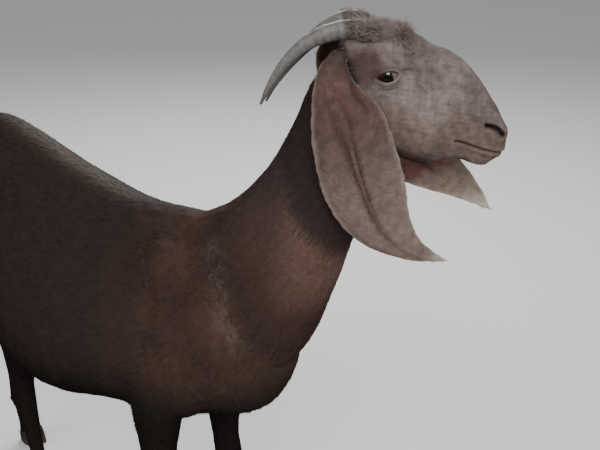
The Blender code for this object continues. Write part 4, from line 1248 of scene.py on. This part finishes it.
def eyeball(side, name, node_name, material):
    """An eyeball with a bulging cornea; its gaze places drive the material."""
    centre = axis_point(EYE_ALONG, side * EYE_OUT, EYE_UP)
    gaze = unit(LEFT * side * 0.98 - AHEAD * 0.06 + RISE * 0.06)
    front = unit(AHEAD - gaze * (AHEAD @ gaze))
    upward = np.cross(gaze, front)
    upward = upward * np.sign(upward[2])
    angle = np.linspace(0.0, math.pi, EYE_ROWS + 1)[1:-1, None]
    turn = around(EYE_COLUMNS)
    local = np.stack([np.sin(angle) * np.cos(turn), np.sin(angle) * np.sin(turn),
                      np.cos(angle) + 0.0 * turn], axis=-1)
    local = np.vstack([local.reshape(-1, 3), RISE, -RISE])
    bulge = CORNEA * np.exp(-(np.arccos(local[:, 2]) / 0.55) ** 4)
    points = centre + local @ np.array((front, upward, gaze)) * (EYE_RADIUS + bulge)[:, None]
    mesh = mesh_of(name, points, tube_faces(EYE_ROWS - 1, EYE_COLUMNS))
    straighten(mesh)
    keep_vector(mesh, "gaze", local)
    dress_piece(name, mesh, material, "eye", node_name)


def lid_rim(side, name, material):
    """The bare moist margin of the lids, a thin band round the opening."""
    angles = around(LID_SIDES)
    rings = []
    for grow, rise in LID_PROFILE:
        long, high = almond_edge(angles, grow)
        along = long * math.cos(LID_TILT) - high * math.sin(LID_TILT)
        up = long * math.sin(LID_TILT) + high * math.cos(LID_TILT)
        out = np.sqrt(np.maximum((EYE_RADIUS + rise) ** 2 - along**2 - up**2, 1e-6))
        rings.append(axis_point(EYE_ALONG + along, side * (EYE_OUT + out), EYE_UP + up))
    points = np.stack(rings, axis=1).reshape(-1, 3)
    sides = len(LID_PROFILE)
    mesh = mesh_of(name, points, ring_quads(LID_SIDES, sides, closed=True))
    straighten(mesh)
    tones = Tones(LID_DARK, len(points))
    # The lower half of the margin is pale, partly its own colour and partly a painted highlight along the wet
    # lower lid
    tones.lay(LID_PALE_AND_HIGHLIGHT, np.repeat(np.clip(-np.sin(angles), 0.0, 1.0), sides) * 0.85)
    tones.lay(LID_PINK, np.repeat(np.clip(np.cos(angles), 0.0, 1.0) ** 6, sides) * 0.6)
    mark(mesh, tones.rows, points)
    rim = dress_piece(name, mesh, material, "head_coat")
    smooth = rim.modifiers.new("Smooth", "SUBSURF")
    smooth.levels = 1
    smooth.render_levels = 1


# Horns and hooves

def horn_line(side, rows):
    """Centres and radii along a horn, with its directions ahead, across and up."""
    centre = head_point(rows[:, 0], side * rows[:, 1], rows[:, 2])
    ahead = unit(np.gradient(centre, axis=0))
    across = unit(np.cross(ahead, RISE))
    return centre, rows[:, 3], ahead, across, np.cross(across, ahead)


def horn(side, name, node_name, material):
    """A sabre horn with growth rings, a blunt keel in front and fine lengthwise lines."""
    centre, radius, ahead, across, up = horn_line(side, smooth_rows(HORNS[node_name], HORN_ROWS))
    share = np.linspace(0.0, 1.0, HORN_ROWS)
    rings = np.sin(2.0 * math.pi * (22.0 * share ** 0.85)) * 0.5 + np.sin(2.0 * math.pi * 9.3 * share) * 0.4
    swell = 0.032 * rings * fall(share, 0.45, 0.85)
    angle = around(HORN_SIDES)[None, :]
    lines = 0.01 * np.sin(angle * 9.0 + share[:, None] * 6.0)
    keel = 0.1 * np.maximum(np.sin(angle), 0.0) ** 5
    wide = radius[:, None] * (1.0 + swell[:, None] + lines + keel) - 0.0002
    points = (centre[:, None, :] + across[:, None, :] * (np.cos(angle) * wide * HORN_FLAT)[..., None]
              + up[:, None, :] * (np.sin(angle) * wide)[..., None])
    points = np.vstack([points.reshape(-1, 3), centre[0], centre[-1] + ahead[-1] * radius[-1]])
    mesh = mesh_of(name, points, tube_faces(HORN_ROWS, HORN_SIDES))
    straighten(mesh)
    place = np.append(np.repeat(share, HORN_SIDES), (0.0, 1.0))
    tones = Tones(HORN_GREY, len(points))
    tones.lay(HORN_ROOT, fall(place, 0.2, 0.34))
    tones.lay(HORN_TIP, ramp(place, 0.8, 1.0) * 0.7)
    tones.gain(5.0 * np.append(np.repeat(swell, HORN_SIDES), (0.0, 0.0)))
    mark(mesh, np.clip(tones.rows, 0.0, 1.0), points)
    dress_piece(name, mesh, material, "horn", node_name)


def hoof(name, material):
    """A claw of horn with growth bands, a worn edge and a soft top."""
    low, high = (np.array(corner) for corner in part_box(name))
    side = (1.0 if "left" in name else -1.0) * (-1.0 if name.endswith("inner") else 1.0)
    middle = np.array(((low[0] + high[0]) / 2.0 - HOOF_SHIFT, low[1] if side > 0 else high[1], 0.0))
    half, wide, _ = (high - low) / 2.0
    lift = np.linspace(0.0, 1.0, HOOF_ROWS)[:, None]
    angle = around(HOOF_SIDES)[None, :]
    bands = 0.01 * np.sin(lift * 52.0 + 0.5 * np.cos(angle)) * ramp(lift, 0.1, 0.3)
    worn = 1.0 - 0.05 * fall(lift, 0.0, 0.08)
    domed = 1.0 - 0.46 * ramp(lift, 0.7, 1.05) - 0.03 * bump_at(lift, 0.72, 0.03)
    girth = (1.0 + bands) * worn * domed
    x = HOOF_SHIFT * (1.0 - lift) + half * (1.0 - 0.2 * lift - 0.04 * lift * lift) * girth * np.cos(angle)
    across = wide * (1.0 - 0.07 * lift) * girth * 0.97
    y = wide + across * np.sin(angle) * (1.0 - 0.2 * np.cos(angle))
    top = high[2] - HOOF_SLOPE * half * 0.76 + x * HOOF_SLOPE
    points = np.stack([middle[0] + x, middle[1] + side * y, top * lift], axis=-1)
    sole = points[0].mean(axis=0) + RISE * 0.0015
    cap = points[-1].mean(axis=0) + RISE * 0.001
    points = np.vstack([points.reshape(-1, 3), sole, cap])
    mesh = mesh_of(name + "_horn", points, tube_faces(HOOF_ROWS, HOOF_SIDES))
    straighten(mesh)
    share = np.append(np.repeat(lift[:, 0], HOOF_SIDES), (0.0, 1.0))
    ring = np.append(bands.ravel(), (0.0, 0.0))
    tones = Tones(HOOF_BROWN, len(points))
    tones.lay(HOOF_WORN, fall(share, 0.05, 0.45))
    tones.lay(HOOF_TOP, ramp(share, 0.75, 0.95))
    tones.gain(16.0 * ring + 0.15 * ripple(points, 0.006, 51))
    mark(mesh, np.clip(tones.rows, 0.002, 1.0), points)
    dress_piece(name + "_horn", mesh, material, "hoof", name)


# Materials

def new_material(name):
    """An empty node material with its tree and shader."""
    material = bpy.data.materials.new(name)
    material.use_nodes = True
    return material, material.node_tree, material.node_tree.nodes["Principled BSDF"]


def give(tree, made, inputs):
    """Set inputs of a node to values, or link them to outputs of other nodes."""
    for key, value in inputs.items():
        if isinstance(value, bpy.types.NodeSocket):
            tree.links.new(value, made.inputs[key])
        else:
            made.inputs[key].default_value = value


def node(tree, kind, inputs, output=0, **settings):
    """An output of a new node with its inputs and settings given."""
    made = tree.nodes.new(kind)
    for key, value in settings.items():
        setattr(made, key, value)
    give(tree, made, inputs)
    return made.outputs[output]


def sums(tree, operation, first, second=0.0):
    """The output of a math node."""
    return node(tree, "ShaderNodeMath", {0: first, 1: second}, operation=operation)


def span(tree, value, low, high, to_low=0.0, to_high=1.0):
    """A value mapped from one span to another."""
    inputs = {"Value": value, "From Min": low, "From Max": high, "To Min": to_low, "To Max": to_high}
    return node(tree, "ShaderNodeMapRange", inputs)


def mixed(tree, factor, first, second):
    """Two colours mixed by a factor."""
    return node(tree, "ShaderNodeMix", {0: factor, 6: first, 7: second}, 2, data_type="RGBA")


def toned(tree, factor, low, first, high, second):
    """A colour between two, by where the factor lies between low and high."""
    colour = node(tree, "ShaderNodeValToRGB", {"Fac": factor})
    stops = colour.node.color_ramp.elements
    stops[0].position, stops[1].position = low, high
    stops[0].color, stops[1].color = first, second
    return colour


def marked_material(name, roughness, spread, scale, strength, specular=0.35, coat=0.0):
    """A material whose colour is the marking, varied by fine noise, with noise bump."""
    material, tree, shader = new_material(name)
    colour = node(tree, "ShaderNodeAttribute", {}, "Color", attribute_name="marking")
    place = node(tree, "ShaderNodeAttribute", {}, "Vector", attribute_name="root")
    fine = node(tree, "ShaderNodeTexNoise", {"Vector": place, "Scale": scale, "Detail": 3.0}, "Fac")
    shade = span(tree, fine, 0.3, 0.7, 1.0 - spread, 1.0 + spread)
    if strength > 0.0:
        relief = {"Strength": strength, "Distance": 0.0008, "Height": fine}
        give(tree, shader, {"Normal": node(tree, "ShaderNodeBump", relief)})
    give(tree, shader, {
        "Base Color": node(tree, "ShaderNodeVectorMath", {0: colour, "Scale": shade}, operation="SCALE"),
        "Roughness": span(tree, fine, 0.0, 1.0, roughness - 0.08, roughness + 0.08),
        "Coat Weight": coat,
        "Coat Roughness": 0.12,
        "Specular IOR Level": specular,
    })
    return material


def eye_material():
    """A dark iris, a wide level pupil, a grey third lid in front and a wet surface."""
    material, tree, shader = new_material("eye_gloss")
    gaze = node(tree, "ShaderNodeAttribute", {}, "Vector", attribute_name="gaze")
    front, upward = (node(tree, "ShaderNodeSeparateXYZ", {"Vector": gaze}, axis) for axis in "XY")
    powers = [sums(tree, "POWER", sums(tree, "ABSOLUTE", sums(tree, "DIVIDE", part, size)), 3.0)
              for part, size in ((front, 0.3), (upward, 0.125))]
    squares = [sums(tree, "MULTIPLY", part, part) for part in (front, upward)]
    distance = sums(tree, "SQRT", sums(tree, "ADD", *squares))
    turn = sums(tree, "ARCTAN2", upward, front)
    rays = node(tree, "ShaderNodeCombineXYZ", {"X": sums(tree, "MULTIPLY", turn, 9.0),
                                               "Y": sums(tree, "MULTIPLY", distance, 3.0)})
    fibres = node(tree, "ShaderNodeTexNoise", {"Vector": rays, "Scale": 2.2, "Detail": 4.0}, "Fac")
    iris = toned(tree, fibres, 0.35, IRIS_DARK, 0.72, IRIS_LIGHT)
    colour = mixed(tree, span(tree, sums(tree, "ADD", *powers), 0.85, 1.25), PUPIL, iris)
    colour = mixed(tree, span(tree, distance, 0.62, 0.7), colour, EYE_RIM)
    bent = sums(tree, "ADD", front, sums(tree, "MULTIPLY", upward, 0.35))
    colour = mixed(tree, span(tree, bent, 0.4, 0.5), colour, THIRD_LID)
    give(tree, shader, {"Base Color": colour, "Roughness": 0.45, "Specular IOR Level": 0.05,
                        "Coat Weight": 1.0, "Coat Roughness": 0.02})
    return material


# Setting

def pale_floor():
    """A plain pale floor."""
    corners = np.array([(-9, -9, 0), (9, -9, 0), (9, 9, 0), (-9, 9, 0)], dtype=float)
    mesh = mesh_of("floor", corners, np.array([(0, 1, 2, 3)]))
    material, tree, shader = new_material("floor_pale")
    noise = node(tree, "ShaderNodeTexNoise", {"Scale": 3.0, "Detail": 2.0}, "Fac")
    give(tree, shader, {"Base Color": toned(tree, noise, 0.0, FLOOR_DARK, 1.0, FLOOR_LIGHT),
                        "Roughness": 0.8})
    mesh.materials.append(material)
    floor = new_object("floor", mesh)
    floor.visible_glossy = False


def soft_light():
    """An even sky and four soft lamps."""
    world = bpy.data.worlds.new("studio")
    world.use_nodes = True
    give(world.node_tree, world.node_tree.nodes["Background"], {"Color": SKY, "Strength": 0.55})
    world.cycles_visibility.glossy = False
    bpy.context.scene.world = world
    for name, place, size, power, glossy in LIGHTS:
        data = bpy.data.lights.new(name, "AREA")
        data.size = size
        data.energy = power
        lamp = new_object(name, data)
        lamp.location = place
        lamp.visible_glossy = glossy
        lamp.rotation_euler = (LAMP_AIM - Vector(place)).to_track_quat("-Z", "Y").to_euler()


def set_camera():
    """The camera of the photo."""
    turn, dip = CAMERA_TURN, CAMERA_DIP
    back = Vector((math.sin(turn) * math.cos(dip), -math.cos(turn) * math.cos(dip), math.sin(dip)))
    data = bpy.data.cameras.new("photo_camera")
    data.lens = LENS
    data.sensor_width = SENSOR
    data.clip_end = 40.0
    camera = new_object("photo_camera", data)
    camera.location = Vector(CAMERA) + Vector(SHIFT)
    camera.rotation_euler = (-back).to_track_quat("-Z", "Y").to_euler()
    bpy.context.scene.camera = camera


def dress():
    """Build every piece."""
    skin = build_skin()
    hide = marked_material("hide", 0.78, 0.16, 420.0, 0.35, specular=0.16)
    dress_piece("skin", skin.mesh, hide, "body_coat", *PARTS)
    hair = marked_material("hair", 0.66, 0.12, 260.0, 0.0, specular=0.14)
    grow_coat(skin, hair)
    grow_poll(skin, hair)
    grow_tail(skin, hair)
    moist = marked_material("lid_margin", 0.38, 0.15, 700.0, 0.3, coat=0.25)
    glossy = eye_material()
    keratin = marked_material("horn_keratin", 0.48, 0.22, 180.0, 0.5)
    for side, word in SIDES:
        eyeball(side, "eyeball_" + word, "eye_" + word, glossy)
        lid_rim(side, "lid_rim_" + word, moist)
        horn(side, "ringed_horn_" + word, "horn_" + word, keratin)
    worn = marked_material("hoof_horn", 0.55, 0.25, 240.0, 0.6)
    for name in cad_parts:
        if name.startswith("hoof"):
            hoof(name, worn)


dress()
pale_floor()
soft_light()
set_camera()
